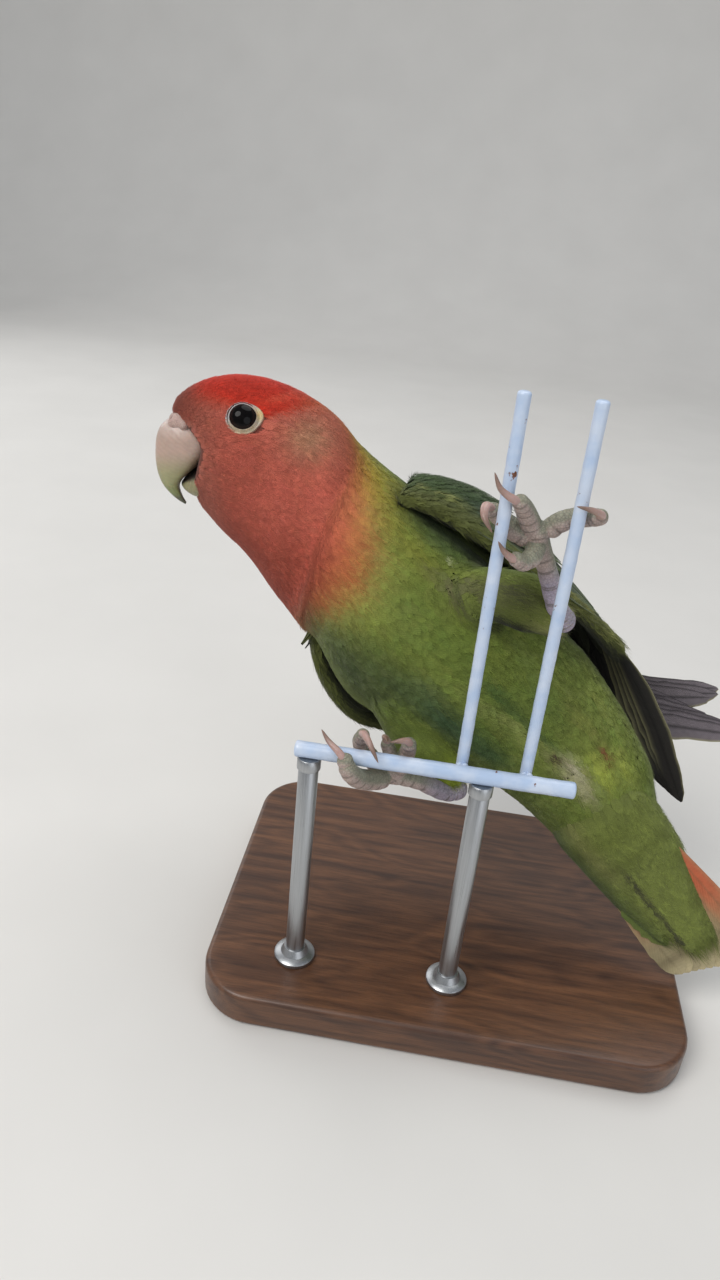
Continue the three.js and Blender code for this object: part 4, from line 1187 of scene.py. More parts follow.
def flight_tint(side, green, pale, rim, inner):
    """Black-brown with a green outer web and a pale edge; below, a dark shaft and inner rim."""
    # on the left wing this underside tone is painted shade
    under = np.array(WING_UNDER_LEFT_SHADED[side], float)

    def tint(k, c, top):
        edge = (WEB_EDGE, pale * smooth(-c, 0.72, 0.95))
        if top:
            web = np.maximum(green * (1 - smooth(c, -0.25, 0.15)), inner)
            return layered(WING_BLACK, (*k.shape, 3), (WEB_GREEN, web), edge)
        shaft = 0.8 * np.maximum(bump(c, 0, 0.09), smooth(c, 0.86, 1.0))
        pale_rim = rim * smooth(c, 0.6, 0.95) * (1 - smooth(k, 0.7, 0.92))
        return layered(under, (*k.shape, 3), (under * 0.5, shaft), (UNDER_RIM, pale_rim), edge)

    return tint


def wing_core(quills, surface, side):
    """The closed inner body of the wing that the feathers grow from."""
    k, j = mesh_grid(np.linspace(0, 1, 40), np.linspace(0, 1, 24))
    s = 0.04 + 0.5 * k
    trim = np.sqrt(1 - np.clip((0.16 - k) / 0.16, 0, 1) ** 2 * 0.7)
    t = 0.5 + (j - 0.5) * 0.92 * (trim * (1 - 0.35 * np.clip(k - 0.5, 0, 1)))
    edge = np.sqrt(np.clip(1 - (2 * j - 1) ** 6, 0, 1))
    high = between(-1.7, -1.2, np.clip(s / 0.6, 0, 1)) - 0.6 * (1 - edge)
    high = high - 1.4 * (1 - smooth(s, 0.02, 0.15))
    deep = between(2.2, 0.3, np.clip(s / 0.54, 0, 1)) * (0.25 + 0.75 * edge)
    # the core's green and lining are darkened as painted shade in the gaps under the feathers, and
    # its underside takes the left wing's painted shade
    lining = np.array(WING_LINING, float) * 0.8
    tint = np.concatenate((layered(np.array(WING_GREEN, float) * 0.6, (k.size, 3)),
                           layered(lining, (k.size, 3),
                                   (WING_UNDER_LEFT_SHADED[side], smooth(k, 0.3, 0.6).ravel()))))
    plate(quills, surface, s, t, high, high - deep, k, 2 * j - 1, tint, t * 20, k * 90)


def wing_flight(quills, surface, side):
    """Primaries and secondaries, from the innermost outwards."""
    for k in np.arange(9, -1, -1) / 9:
        s, t = curve(PRIMARY_TIPS[side], k)
        root = 0.06 + 0.3 * k
        path = [(0.34, root), ((0.36 + s) / 2, between(root, t, 0.55)), (s, t)]
        rim = 0.9 if k < 0.4 and side == "left" else 0.0
        tint = flight_tint(side, 0.75, 0.85, rim, 0.75 * smooth(k, 0.7, 1.0))
        quill(quills, surface, path, between(3.5, 3.9, k), (-1.7, -1.35 + 0.9 * k), tint, 26,
              roll=-0.1)
    for k in np.arange(7, -1, -1) / 7:
        path = [(0.26, 0.24 + 0.66 * k), (0.5, 0.34 + 0.56 * k), (0.78 - 0.14 * k, 0.46 + 0.46 * k)]
        tint = flight_tint(side, 1.0, 0.3, 0.0, 0.85 * smooth(k, 0.65, 1.0))
        quill(quills, surface, path, 3.9, (-1.5, -0.55 + 0.5 * k), tint, 20, blunt=0.55, roll=-0.1)


# Rows of coverts: how many, where they start and end along the wing, half width, tip's height
COVERT_ROWS = [(10, 0.17, 0.46, 2.7, -0.15), (12, 0.1, 0.36, 2.3, 0.0),
               (13, 0.06, 0.285, 2.0, 0.05), (13, 0.03, 0.225, 1.8, 0.1)]


def wing_coverts(quills, surface):
    """Rows of coverts from the flight feathers up to the bend of the wing."""
    for k in np.arange(7) / 6:
        path = [(0.2, 0.05 + 0.16 * k), (0.36, 0.04 + 0.18 * k), (0.52 - 0.05 * k, 0.05 + 0.2 * k)]
        quill(quills, surface, path, 2.2, (-1.4, -0.45 + 0.25 * k), primary_covert_tint, 14,
              blunt=0.45, roll=-0.1)
    for row, (count, start, end, half, high) in enumerate(COVERT_ROWS):
        for i in range(count):
            k = (i + 0.25 + 0.5 * (row % 2)) / count + random.normal(0, 0.008)
            s = end - 0.03 * k + random.normal(0, 0.004)
            t = 0.02 + 0.96 * k
            path = [(start, between(0.08, 0.96, k)), (between(start, s, 0.5), t), (s, t)]
            blue = 0.75 * (bump(s, 0.24, 0.07) * bump(k, 0.12, 0.1))
            quill(quills, surface, path, half, (-1.5, high), covert_tint(k, blue), 11, 7,
                  thick=0.25, blunt=0.55, roll=-0.06, camber=0.2, rachis=0.06)


# The wing's outline across, from its lining round the leading edge and over the top: t and height
WING_ROUND = np.array([(0.1, -3.5), (0.05, -3.3), (0.012, -2.7), (-0.008, -1.9), (-0.004, -1.1),
                       (0.03, -0.5), (0.1, -0.1), (0.3, 0.0), (0.6, 0.0), (0.98, -0.3)])
WING_ACROSS = 18.0  # millimetres from t = 0 to t = 1
WING_DEEP = -1.7  # the height of the feathers' roots
DOWN_PITCH = 1.15


def wing_down_vanes(surface, side):
    """The small soft feathers of the bend and the leading edge."""
    along, rise = np.diff(WING_ROUND, axis=0).T
    girth = np.concatenate(([0], np.cumsum(np.hypot(along * WING_ACROSS, rise))))
    table = np.linspace(-0.25, 0.7, 240)
    arc = run_length(surface(table, np.full(240, 0.2))[0])

    def at(s, q):
        t, h = (np.interp(q, girth, column) for column in WING_ROUND.T)
        slim = np.sqrt(np.clip((s + 0.2) / 0.32, 0, 1))
        sunk = 2.4 * (1 - smooth(s, -0.1, 0.15))
        return surface(s, t, WING_DEEP + (h - WING_DEEP) * slim - sunk)[0]

    rows_s, rows_q, odd = [], [], 0
    last, full = (np.interp(s, table, arc) for s in (0.5, 0.165))
    for start in np.arange(1.6, last, DOWN_PITCH * 0.9):
        end = girth[-1] if start < full else girth[5]
        q = np.arange(0.2 + 0.5 * odd * DOWN_PITCH, end, DOWN_PITCH)
        rows_q.append(q + random.uniform(-0.25, 0.25, len(q)))
        rows_s.append(start + random.uniform(-0.3, 0.3, len(q)))
        odd = 1 - odd
    start, q = np.concatenate(rows_s), np.concatenate(rows_q)
    length = random.uniform(3.4, 4.4, len(q))
    run = np.interp(start[:, None] + length[:, None] * VANE_S, arc, table)
    across = q[:, None] + 0 * run
    ways = np.cross(at(run + 0.002, across) - at(run - 0.002, across),
                    at(run, across + 0.05) - at(run, across - 0.05))
    normals = unit(ways) * WINGS[side][1]
    centres = at(run, across) - normals * 0.25
    t, h = (np.interp(across, girth, column) for column in WING_ROUND.T)
    pale = bump(t + 0.25 * run, 0.13, 0.035) * smooth(random.uniform(0, 1, (len(q), 1)), 0.2, 0.8)
    tint = layered(
        WING_GREEN, centres.shape,
        (WING_LEAD, 0.9 * (1 - smooth(t, 0.03, 0.16))),
        (WING_BLUE, 0.7 * bump(run, 0.2, 0.06) * bump(t, 0.14, 0.08)),
        (DOWN_PALE, 0.75 * pale),
        # painted shade where the down turns under the leading edge, over the gap to the body
        (DOWN_UNDER_SHADE, 0.85 * smooth(-h, 1.6, 2.8)),
    )
    tint = tint * random.normal(1.0, 0.05, (len(q), 1, 1))
    uv = np.stack((0.02 + 0.4 * (start / last), 0.5 + 0.45 * q / girth[-1]), -1)
    return Laid(normals), centres, 0.95, 0.7, tint, uv


def lining_tint(k, c, top):
    return layered(WING_LINING, (*k.shape, 3), (LINING_SHADE, 0.7 * bump(k, 0.4, 0.4)))


def wing_lining(quills, surface):
    """The underside: dark linings near the leading edge, before the undersides of the quills."""
    for row in range(7):
        for i in range(7):
            t = 0.06 + 0.13 * i + 0.06 * (row % 2)
            s = 0.02 + 0.065 * row
            height = between(-4.3, -2.6, s / 0.55)
            path = [(s, t), (s + 0.07, t + 0.005), (s + 0.15, t + 0.01)]
            quill(quills, surface, path, 2.3, (height + 0.9, height - 0.15), lining_tint, 8, 7,
                  thick=0.3, blunt=0.4, camber=0.2, rachis=0.05, flip=True)


def make_wing(side, material, down):
    surface = sheet(*WINGS[side], 4)
    quills = []
    wing_core(quills, surface, side)
    wing_flight(quills, surface, side)
    wing_coverts(quills, surface)
    wing_lining(quills, surface)
    soft_coat("plumage_wing", f"wing_down_{side}", down, wing_down_vanes(surface, side), 13, 0.05)
    coat_piece("plumage_wing", (f"wing_{side}",), f"wing_feathers_{side}", quills, material)


# Tail
TAIL_ROOT = np.array((33, -3.6, 38.6))
TAIL_TIP = np.array((60.4, -13.5, 14.4))
TAIL_LENGTH = np.linalg.norm(TAIL_TIP - TAIL_ROOT)
TAIL_WAY = (TAIL_TIP - TAIL_ROOT) / TAIL_LENGTH
TAIL_LEFT = unit(np.cross((0.2, 0.965, -0.18), TAIL_WAY))
TAIL_BACK = unit(np.cross(TAIL_WAY, TAIL_LEFT))
TAIL_ROWS = [(0, 8.6, 1.6), (0.35, 9.6, 1.4), (0.7, 10.0, 1.1), (1, 9.2, 0.9)]
TAIL_CORE = (96, 116, 40)
TAIL_ABOVE = (84, 112, 44)
TAIL_BELOW = (158, 146, 110)
TAIL_RED = (198, 98, 64)
TAIL_SHADE = (96, 84, 60)
TAIL_EDGE = (190, 176, 138)
RED_SHARE = (1.0, 0.4, 0.1, 0.0, 0.0, 0.0)  # how red each tail feather is, outermost first


def tail_surface():
    grid = []
    for k, half, arch in TAIL_ROWS:
        middle = TAIL_ROOT + TAIL_WAY * k * TAIL_LENGTH
        grid.append([middle + TAIL_LEFT * c * half - TAIL_BACK * arch * c * c
                     for c in (-1, -0.34, 0.34, 1)])
    return sheet(grid)


def rectrix_tint(order, side):
    """Tail feathers: green above, with a broad orange-red part on the outer ones; paler below."""
    middle, spread = (0.28, 0.36) if side < 0 else (0.36, 0.16)

    def tint(k, c, top):
        red = bump(k, middle, spread) * (0.15 + 0.85 * RED_SHARE[order])
        red = red * (1.0 if side < 0 or top else 0.3)
        return layered(
            TAIL_ABOVE if top else TAIL_BELOW, (*k.shape, 3),
            (TAIL_RED, 0.92 * red * (1 - 0.35 * smooth(np.abs(c), 0.5, 1))),
            (TAIL_SHADE, 0.35 * bump(k, 0.78, 0.05) + 0.25 * bump(c, 0, 0.08)),
            (TAIL_EDGE, 0.8 * smooth(k, 0.8, 1.0)),
        )

    return tint


def covert_green(base, tip):
    base = np.array(base, float)

    def tint(k, c, _):
        return layered(base, (*k.shape, 3),
                       (base * 0.72, 0.8 * bump(c, 0, 0.12) * smooth(k, 0.3, 0.8)),
                       (tip, smooth(k, 0.55, 1.0) * 0.7 + 0.3 * smooth(np.abs(c), 0.6, 1)))

    return tint


def tail_core(quills, surface):
    k, j = mesh_grid(np.linspace(0, 1, 30), np.linspace(0, 1, 20))
    s = between(-0.16, 0.6, k)
    t = 0.54 + 0.66 * (j - 0.5) * (1 - 0.2 * smooth(k, 0.6, 1))
    edge = np.sqrt(np.clip(1 - (2 * j - 1) ** 4, 0, 1))
    high = between(3.4, 0.2, np.clip(s / 0.6, 0, 1)) * edge
    deep = between(7.0, 0.8, np.clip(s / 0.6, 0, 1)) * (0.1 + 0.9 * edge)
    plate(quills, surface, s, t, high, high - deep, k, 2 * j - 1,
          layered(TAIL_CORE, (2 * k.size, 3)), t * 18, k * 30)


# Large coverts under the tail: end, place across, half width
UNDER_TAIL = [(0.82, 0.54, 3.8), (0.68, 0.84, 3.4), (0.62, 0.66, 3.2)]
# The rounded underside from the vent to the tail: along, middle across, half width, depth
VENT_CONE = np.array([(-0.3, -0.8, 11.6, 10.6), (-0.1, -0.1, 11.0, 9.8), (0.05, 0.1, 10.6, 8.6),
                      (0.2, 0.4, 10.1, 6.8), (0.4, 1.3, 8.7, 4.8), (0.6, 1.9, 6.8, 3.2),
                      (0.85, 2.4, 4.8, 1.8)])
VENT_START = -0.26


def vent_cone(s, x):
    middle, half, depth = (np.interp(s, VENT_CONE[:, 0], column) for column in VENT_CONE.T[1:])
    bulge = depth * np.clip(1 - np.abs(x) ** 2.4, 0, 1) ** 0.5
    along, across = s * TAIL_LENGTH, middle + half * x
    return (TAIL_ROOT + TAIL_WAY * along[..., None] + TAIL_LEFT * across[..., None]
            - TAIL_BACK * bulge[..., None])


def under_tail_vanes():
    """Soft feathers that run from the vent over the base of the tail, longer towards their end."""
    rows_s, rows_x, odd = [], [], 0
    for s in np.arange(VENT_START, 0.56, 0.026):
        x = np.sin(np.linspace(-1.45, 1.45, 30) + 0.05 * odd)
        x = x[x < (1.0 if s < 0.44 else 0.15)]
        rows_x.append(x + random.uniform(-0.02, 0.02, len(x)))
        rows_s.append(s + random.uniform(-0.012, 0.012, len(x)))
        odd = 1 - odd
    s, x = np.concatenate(rows_s), np.clip(np.concatenate(rows_x), -0.985, 0.985)
    length = np.interp(s, [VENT_START, 0.5], [4.6, 8.6]) * random.uniform(0.85, 1.15, len(s))
    run = s[:, None] + (length / TAIL_LENGTH)[:, None] * VANE_S
    across = x[:, None] + 0 * run
    e = 0.01
    normals = unit(np.cross(vent_cone(run, across + e) - vent_cone(run, across - e),
                            vent_cone(run + e, across) - vent_cone(run - e, across)))
    normals = normals * np.where(normals @ TAIL_BACK > 0, -1, 1)[..., None]
    centres = vent_cone(run, across)
    tint = layered(
        (110, 120, 54), centres.shape,
        ((92, 108, 50), smooth(across, 0.3, 1.0)),
        ((132, 132, 78), 0.6 * bump(across, 0.45, 0.2) * (1 - smooth(run, 0.05, 0.3))),
        ((56, 56, 34), 0.8 * bump(across, 0.16, 0.06) * smooth(run, 0.0, 0.25)),
    )
    tint = tint * random.normal(1.0, 0.05, (len(s), 1, 1))
    uv = np.stack((0.52 + 0.4 * (s - VENT_START), 0.02 + 0.2 * (x + 1)), -1)
    return Laid(normals), centres, 1.05, 0.7, tint, uv


def tail_covert_path(start, end, t):
    return [(start, 0.5 + (t - 0.5) * 0.8), (end / 2, t), (end, t)]


def make_tail(material, soft):
    surface = tail_surface()
    quills = []
    tail_core(quills, surface)
    for side in (-1, 1):
        for order in range(6):
            t = 0.5 + side * (0.43 - 0.076 * order)
            path = [(s, t) for s in (0.15, 0.6, 0.9 + 0.02 * order)]
            height = -0.8 + 0.27 * order + (0.1 if side > 0 else 0)
            quill(quills, surface, path, 2.75, (height, height), rectrix_tint(order, side), 26, 11,
                  blunt=0.72, camber=0.05, ragged=0.03)
    for i, (end, t, half) in enumerate(UNDER_TAIL):
        quill(quills, surface, tail_covert_path(-0.12, end, t), half, (-3.4, -1.0 - 0.22 * i),
              covert_green((84, 100, 44), (104, 114, 56)), 22, 11, camber=0.25, flip=True,
              blunt=0.5, ragged=0.08)
    for i in range(9):
        t = 0.2 + 0.08 * i
        end = 0.42 - 0.35 * abs(t - 0.5) - 0.1 * (i % 2)
        quill(quills, surface, tail_covert_path(-0.1, end, t), 2.4, (3.4, 1.2),
              covert_green((76, 118, 60), (96, 130, 48)), 14, camber=0.4, blunt=0.45)
    coat_piece("plumage_tail", ("tail",), "tail_feathers", quills, material)
    soft_coat("plumage_tail", "plumage_under_tail", soft, under_tail_vanes(), 17, 0.05)


# Bill, cere and eyes

def formed(slot, node, name, grid, material, tint, vane=None):
    """A piece that is one closed form through rings of points."""
    tint, vane = flat_rows(tint, grid if vane is None else vane)
    piece(slot, (node,), name, *loft(grid), material, tint, vane)


UPPER_BEAK = [
    (12.6, 8.9, 6.6, 2.2, 4.7), (15.2, 8.8, 7.8, 1.2, 5.2), (17.4, 7.3, 9.2, 0.2, 5.2),
    (18.5, 5.2, 10.4, -0.8, 4.9), (19.0, 2.6, 11.6, -1.8, 4.4), (19.2, 0.0, 12.9, -2.8, 3.7),
    (19.0, -2.4, 14.1, -3.8, 3.0), (18.3, -4.7, 14.8, -4.9, 2.2), (17.0, -6.7, 14.9, -6.0, 1.5),
    (15.6, -8.2, 14.5, -7.6, 0.9), (14.2, -9.3, 13.9, -8.9, 0.25),
]
LOWER_BEAK = [
    (8.0, -0.6, 8.4, -7.4, 4.2), (10.2, -1.0, 11.2, -7.6, 4.3), (11.8, -2.0, 12.8, -6.9, 3.7),
    (13.3, -3.2, 13.9, -5.9, 2.7), (14.4, -4.4, 14.4, -5.1, 1.4),
]
BEAK_SIDES = 56
BEAK_FLATNESS = 0.7  # under 1 makes the sheath's sides flatter than an oval's
# The upper bill's colours from its base to its tip: the colour, and how far down it comes in
UPPER_BEAK_TINTS = [((154, 152, 110), -3.0, 3.5), ((128, 134, 84), 3.5, 6.5),
                    ((84, 86, 68), 6.4, 8.2)]


def beak_form(rows, count):
    """A horn sheath. Each row: outer edge forward and up, inner edge forward and up, half width."""
    k = np.linspace(0, 1, count)
    edges = curve(rows, k)
    outer, inner, half = edges[:, :2], edges[:, 2:4], edges[:, 4]
    a = circle(BEAK_SIDES)
    spot = ((outer + inner) / 2)[:, None] + ((outer - inner) / 2)[:, None] * np.cos(a)[:, None]
    flat = np.sign(np.sin(a)) * np.abs(np.sin(a)) ** BEAK_FLATNESS
    side = np.maximum(half, 0.12)[:, None] * flat * (1 - 0.18 * np.cos(a))
    in_head = np.concatenate((spot, side[..., None]), -1)
    vane = np.stack(np.broadcast_arrays(a * 2, run_length(outer)[:, None], k[:, None]), -1)
    return HEAD_CENTRE + in_head @ HEAD_AXES, vane


def make_beak(material):
    outward = np.cos(circle(BEAK_SIDES))
    grid, vane = beak_form(UPPER_BEAK, 70)
    _, up, _ = head_place(grid)
    # painted shade on the upper bill's underside, in the gap between the bills
    mouth_gap_shade = 0.8 * smooth(-outward, 0.55, 1.0) * smooth(-up, -2.5, 0.5)
    tint = layered((182, 156, 142), grid.shape, ((192, 174, 166), smooth(up, 4, 9)),
                   *((colour, smooth(-up, low, high)) for colour, low, high in UPPER_BEAK_TINTS),
                   ((70, 54, 44), mouth_gap_shade))
    formed("beak", "beak_upper", "beak_sheath_upper", grid, material, tint, vane)
    grid, vane = beak_form(LOWER_BEAK, 40)
    # painted shade on the lower bill's upper part, where it sits inside the upper bill
    tint = layered((138, 132, 98), grid.shape, ((34, 27, 23), smooth(outward, 0.1, 0.6)[None]))
    formed("beak", "beak_lower", "beak_sheath_lower", grid, material, tint, vane)


def ball_turns(rings, rim):
    """How far each ring of a ball is turned from its pole. rim leaves room for its caps."""
    return np.linspace(rim, np.pi - rim, rings)[:, None]


def ball(turns, sides):
    """Rings of points on a ball: along its axis, and two ways across it."""
    a = circle(sides)
    return np.stack(np.broadcast_arrays(np.cos(turns), np.sin(turns) * np.cos(a),
                                        np.sin(turns) * np.sin(a)), -1)


def ball_form(centre, radii, rings=24, sides=32):
    return loft(centre + ball(ball_turns(rings, 0.02), sides) * np.array(radii) @ HEAD_AXES)


CERE_SKIN = (186, 158, 148)
NOSTRIL_SHADE = (70, 44, 40)
# The forms that the cere grows from: place in the head, and radii
CERE_FORMS = [((13.8, 8.1, -2.2), (2.1, 1.9, 2.1)), ((13.8, 8.1, 2.2), (2.1, 1.9, 2.1)),
              ((13.6, 8.3, 0), (2.1, 1.7, 3.6)), ((12.6, 7.6, 0), (1.8, 1.9, 5.2))]


def make_cere(material):
    """The soft pad over the bill, with a nostril on each side."""
    parts = [ball_form(head_point(*place), radii) for place, radii in CERE_FORMS]
    points, quads = remeshed(parts, 0.16, 14)
    normals = vertex_normals(points, quads)
    dark = np.zeros(len(points))
    for side in (-1, 1):
        pit = bump(np.linalg.norm(points - head_point(15.3, 9.1, side * 2.5), axis=1), 0, 0.75)
        points = points - normals * (1.1 * pit)[:, None]
        dark = np.maximum(dark, pit)
    # painted shade inside the nostril pits
    tint = layered(CERE_SKIN, points.shape, (NOSTRIL_SHADE, smooth(dark, 0.3, 0.8)))
    piece("beak", (), "cere", points, quads, None, material, tint, points)


def eye_inward(side):
    return from_eye(0, 0, 0, side) - from_eye(0, 0, 1, side)


def make_eye(side, ground, eye_surface, ring_surface):
    """The eyeball, and the ring of bare skin with its lids."""
    name = "left" if side > 0 else "right"
    turns = ball_turns(48, 0.01)
    out, forward, rise = np.moveaxis(EYE_R * ball(turns, 64), -1, 0)
    grid = from_eye(forward, rise, out, side)
    tint = layered((9, 7, 7), grid.shape, ((30, 17, 13), bump(np.degrees(turns), 40, 5)))
    formed("eye", f"eye_{name}", f"eyeball_{name}", grid, eye_surface, tint)
    ring, tint = eye_ring(side, ground)
    rings, sides = ring.shape[:2]
    points = np.concatenate(flat_rows(ring, ring + 0.5 * eye_inward(side)))
    half = rings * sides
    j = np.arange(sides)
    inner = np.stack((j, (j + 1) % sides, half + (j + 1) % sides, half + j), -1)
    outer = inner[:, ::-1] + (rings - 1) * sides
    quads, _ = loft_faces(rings, sides)
    faces = np.concatenate((quads, quads[:, ::-1] + half, inner[:, ::-1], outer[:, ::-1]))
    faces, _ = facing_out(points, faces)
    piece("plumage_head", (), f"eye_ring_{name}", points, faces, None, ring_surface,
          np.concatenate((tint, tint)), points)


RING_SKIN = (186, 182, 182)
RING_YELLOW = (206, 180, 130)
LID_EDGE = (112, 92, 86)
RING_OUTSIDE = (170, 120, 104)


def eye_ring(side, ground):
    """Rings of points from the lids' edge on the eyeball out to the feathers, and their colour."""
    a = circle(120)
    rear = np.exp(7.0 * (np.cos(a - np.pi + 0.12) - 1))
    front = np.exp(5.0 * (np.cos(a + 0.25) - 1))
    low = smooth(-np.sin(a), -0.2, 0.9)
    inner = 2.45 + 0.22 * rear + 0.10 * front
    outer = RING_OUTER + 0.35 + 0.85 * rear + 0.15 * front
    grid, tint = [], []
    for r in np.linspace(0, 1, 14):
        radius = between(inner, outer, r)
        x, y = radius * np.cos(a), radius * np.sin(a)
        on_ball = np.sqrt(np.maximum(EYE_R**2 - np.minimum(radius, EYE_R - 0.3) ** 2, 0))
        on_skin = skin_height(side, ground, x, y)
        lid = 0.26 * bump(r, 0.22, 0.2) + 0.10 * bump(r, 0.66, 0.16)
        wrinkle = 0.025 * np.sin(a * 46 + 9 * r) * smooth(r, 0.1, 0.4)
        high = between(on_ball, on_skin + 0.45, smooth(r, 0.0, 0.9)) + lid + wrinkle
        high = high - 0.5 * smooth(r, 0.85, 1.0)
        grid.append(from_eye(x, y, on_ball - 0.06 if r == 0 else high, side))
        tint.append(layered(RING_SKIN, (len(a), 3), (RING_YELLOW, np.maximum(rear, 0.6 * low)),
                            (LID_EDGE, 0.8 * bump(r, 0.0, 0.09)),
                            (RING_OUTSIDE, 0.7 * smooth(r, 0.7, 1.0))))
    return np.array(grid), np.concatenate(tint)


def skin_height(side, ground, forward, rise):
    """How far out the skin is from the eye's middle, at each place round it."""
    inward = eye_inward(side)
    heights = []
    for x, y in zip(forward, rise):
        hit = ground.tree.ray_cast(from_eye(x, y, 20, side), inward)
        heights.append(eye_place(np.array(hit[0]), side)[2] if hit[0] else 1.8)
    return np.array(heights)


# Feet: scaly legs and toes as one skin each, with separate claws
# Each leg: its shank, then for each toe its line, its claw's line and its radii
LEGS = {
    "left": (
        [(10.8, -11.8, 91.0), (8.9, -13.4, 94.6), (5.6, -15.6, 102.6), (3.3, -17.2, 107.4),
         (2.6, -17.9, 109.6)],
        [
            ([(3.0, -17.6, 107.6), (2.4, -20.2, 106.0), (0.9, -21.9, 105.3), (-0.5, -23.2, 106.2)],
             [(0.3, -22.6, 105.6), (-1.4, -24.0, 106.6), (-2.9, -25.0, 108.0),
              (-4.1, -25.0, 109.6)], (1.7, 1.5, 1.15)),
            ([(2.2, -17.9, 109.6), (0.9, -19.2, 112.0), (-0.5, -21.5, 114.7),
              (-1.5, -24.0, 116.5)],
             [(-1.0, -23.2, 116.0), (-3.0, -25.2, 117.3), (-5.2, -25.7, 118.9),
              (-6.5, -24.9, 121.2)], (1.75, 1.6, 1.25)),
            ([(1.6, -17.4, 108.2), (-1.0, -17.8, 109.2), (-3.6, -17.9, 111.0),
              (-5.5, -18.8, 112.8)],
             [(-4.9, -18.5, 112.4), (-6.7, -20.3, 113.9), (-6.9, -22.8, 112.8),
              (-5.3, -24.6, 110.8)], (1.8, 1.65, 1.25)),
            ([(4.0, -17.6, 109.6), (6.2, -18.0, 112.0), (8.8, -18.1, 113.2), (11.3, -19.3, 114.0),
              (12.0, -21.4, 114.9)],
             [(12.0, -20.8, 114.6), (11.7, -23.2, 115.9), (9.8, -25.0, 117.0),
              (7.4, -25.3, 117.4)], (1.75, 1.6, 1.25)),
        ],
    ),
    "right": (
        [(-3.6, -12.4, 49.6), (-6.0, -14.6, 50.0), (-11.2, -17.4, 53.6), (-15.6, -18.6, 55.2),
         (-18.2, -19.2, 55.4)],
        [
            ([(-17.6, -19.4, 55.6), (-17.4, -19.3, 58.4), (-17.9, -19.5, 61.0),
              (-18.6, -20.4, 63.2)],
             [(-18.4, -20.0, 62.6), (-18.9, -21.0, 64.8), (-19.0, -22.8, 66.2),
              (-18.4, -24.6, 66.6)], (1.6, 1.4, 1.1)),
            ([(-18.0, -19.6, 54.9), (-20.2, -22.6, 56.0), (-22.8, -26.6, 58.6),
              (-24.6, -29.0, 61.6), (-25.6, -29.2, 64.0)],
             [(-25.3, -29.2, 63.2), (-26.8, -29.3, 65.6), (-29.2, -28.0, 67.0),
              (-31.0, -25.9, 68.0)], (2.0, 1.85, 1.4)),
            ([(-18.8, -19.0, 55.8), (-21.6, -19.2, 58.8), (-23.8, -19.7, 62.2),
              (-23.4, -21.9, 65.4)],
             [(-23.5, -21.2, 64.8), (-22.9, -24.2, 67.2), (-21.2, -27.2, 66.6),
              (-19.4, -28.9, 64.4)], (1.8, 1.65, 1.25)),
            ([(-16.8, -19.2, 55.6), (-15.2, -19.4, 58.6), (-14.4, -19.8, 62.0),
              (-14.3, -22.0, 65.0)],
             [(-14.3, -21.2, 64.4), (-14.6, -23.8, 66.8), (-16.0, -25.6, 67.8),
              (-17.8, -26.2, 67.6)], (1.75, 1.6, 1.3)),
        ],
    ),
}
SHANK_R = (2.3, 1.75, 1.6, 1.9, 1.9)
CLAW_R = (1.0, 0.9, 0.62, 0.16)
DOME = 0.12  # how much of a tube's length each of its round ends takes, as a share
SCALE_STEP = 0.95
PAD_STEP = 2.1
PADS_FACE_FROM = np.array((0.0, 0.41, 0.91))
FOOT_SKIN = (158, 152, 138)
FOOT_SCALES = (132, 134, 112)
FOOT_PADS = (196, 168, 162)
SHANK_SKIN = (168, 158, 178)
SCALE_EDGE = (92, 84, 76)
CLAW = (182, 150, 142)
CLAW_TIP = (120, 96, 84)


def tube_form(line, radii, count=60, sides=24, squeeze=1.0):
    """A tapered tube with domed ends, as a grid of rings."""
    k, middle, _, side, other = line_frames(line, count)
    rounded = np.clip((DOME - np.minimum(k, 1 - k)) / DOME, 0, 1)
    cap = np.sqrt(np.clip(1 - rounded**2, 0.01, 1))
    a = circle(sides)[:, None]
    ring = side[:, None] * np.cos(a) + other[:, None] * (squeeze * np.sin(a))
    return middle[:, None] + ring * (spread_over(k, radii) * cap)[:, None, None]


def knuckle(centre, radius):
    return ball_form(centre, radius, 16, 20)


def make_foot(side, material, claw_surface):
    shank, toes = LEGS[side]
    lines = [(shank, SHANK_R)] + [(line, radii) for line, _, radii in toes]
    parts = [loft(tube_form(line, radii)) for line, radii in lines]
    parts += [knuckle(shank[0], 2.35), knuckle(shank[-1], 2.1)]
    parts += [knuckle(line[-1], radii[-1] * 1.02) for line, _, radii in toes]
    points, quads = remeshed(parts, 0.2, 5)
    points, tint = scaled_skin(points, quads, lines)
    nodes = [f"tarsus_{side}"] + [f"toe_{side}_{i + 1}" for i in range(len(toes))]
    piece("leg_skin", nodes, f"foot_{side}", points, quads, None, material, tint, points)
    for i, (_, line, _) in enumerate(toes, 1):
        make_claw(f"{side}_{i}", line, claw_surface)


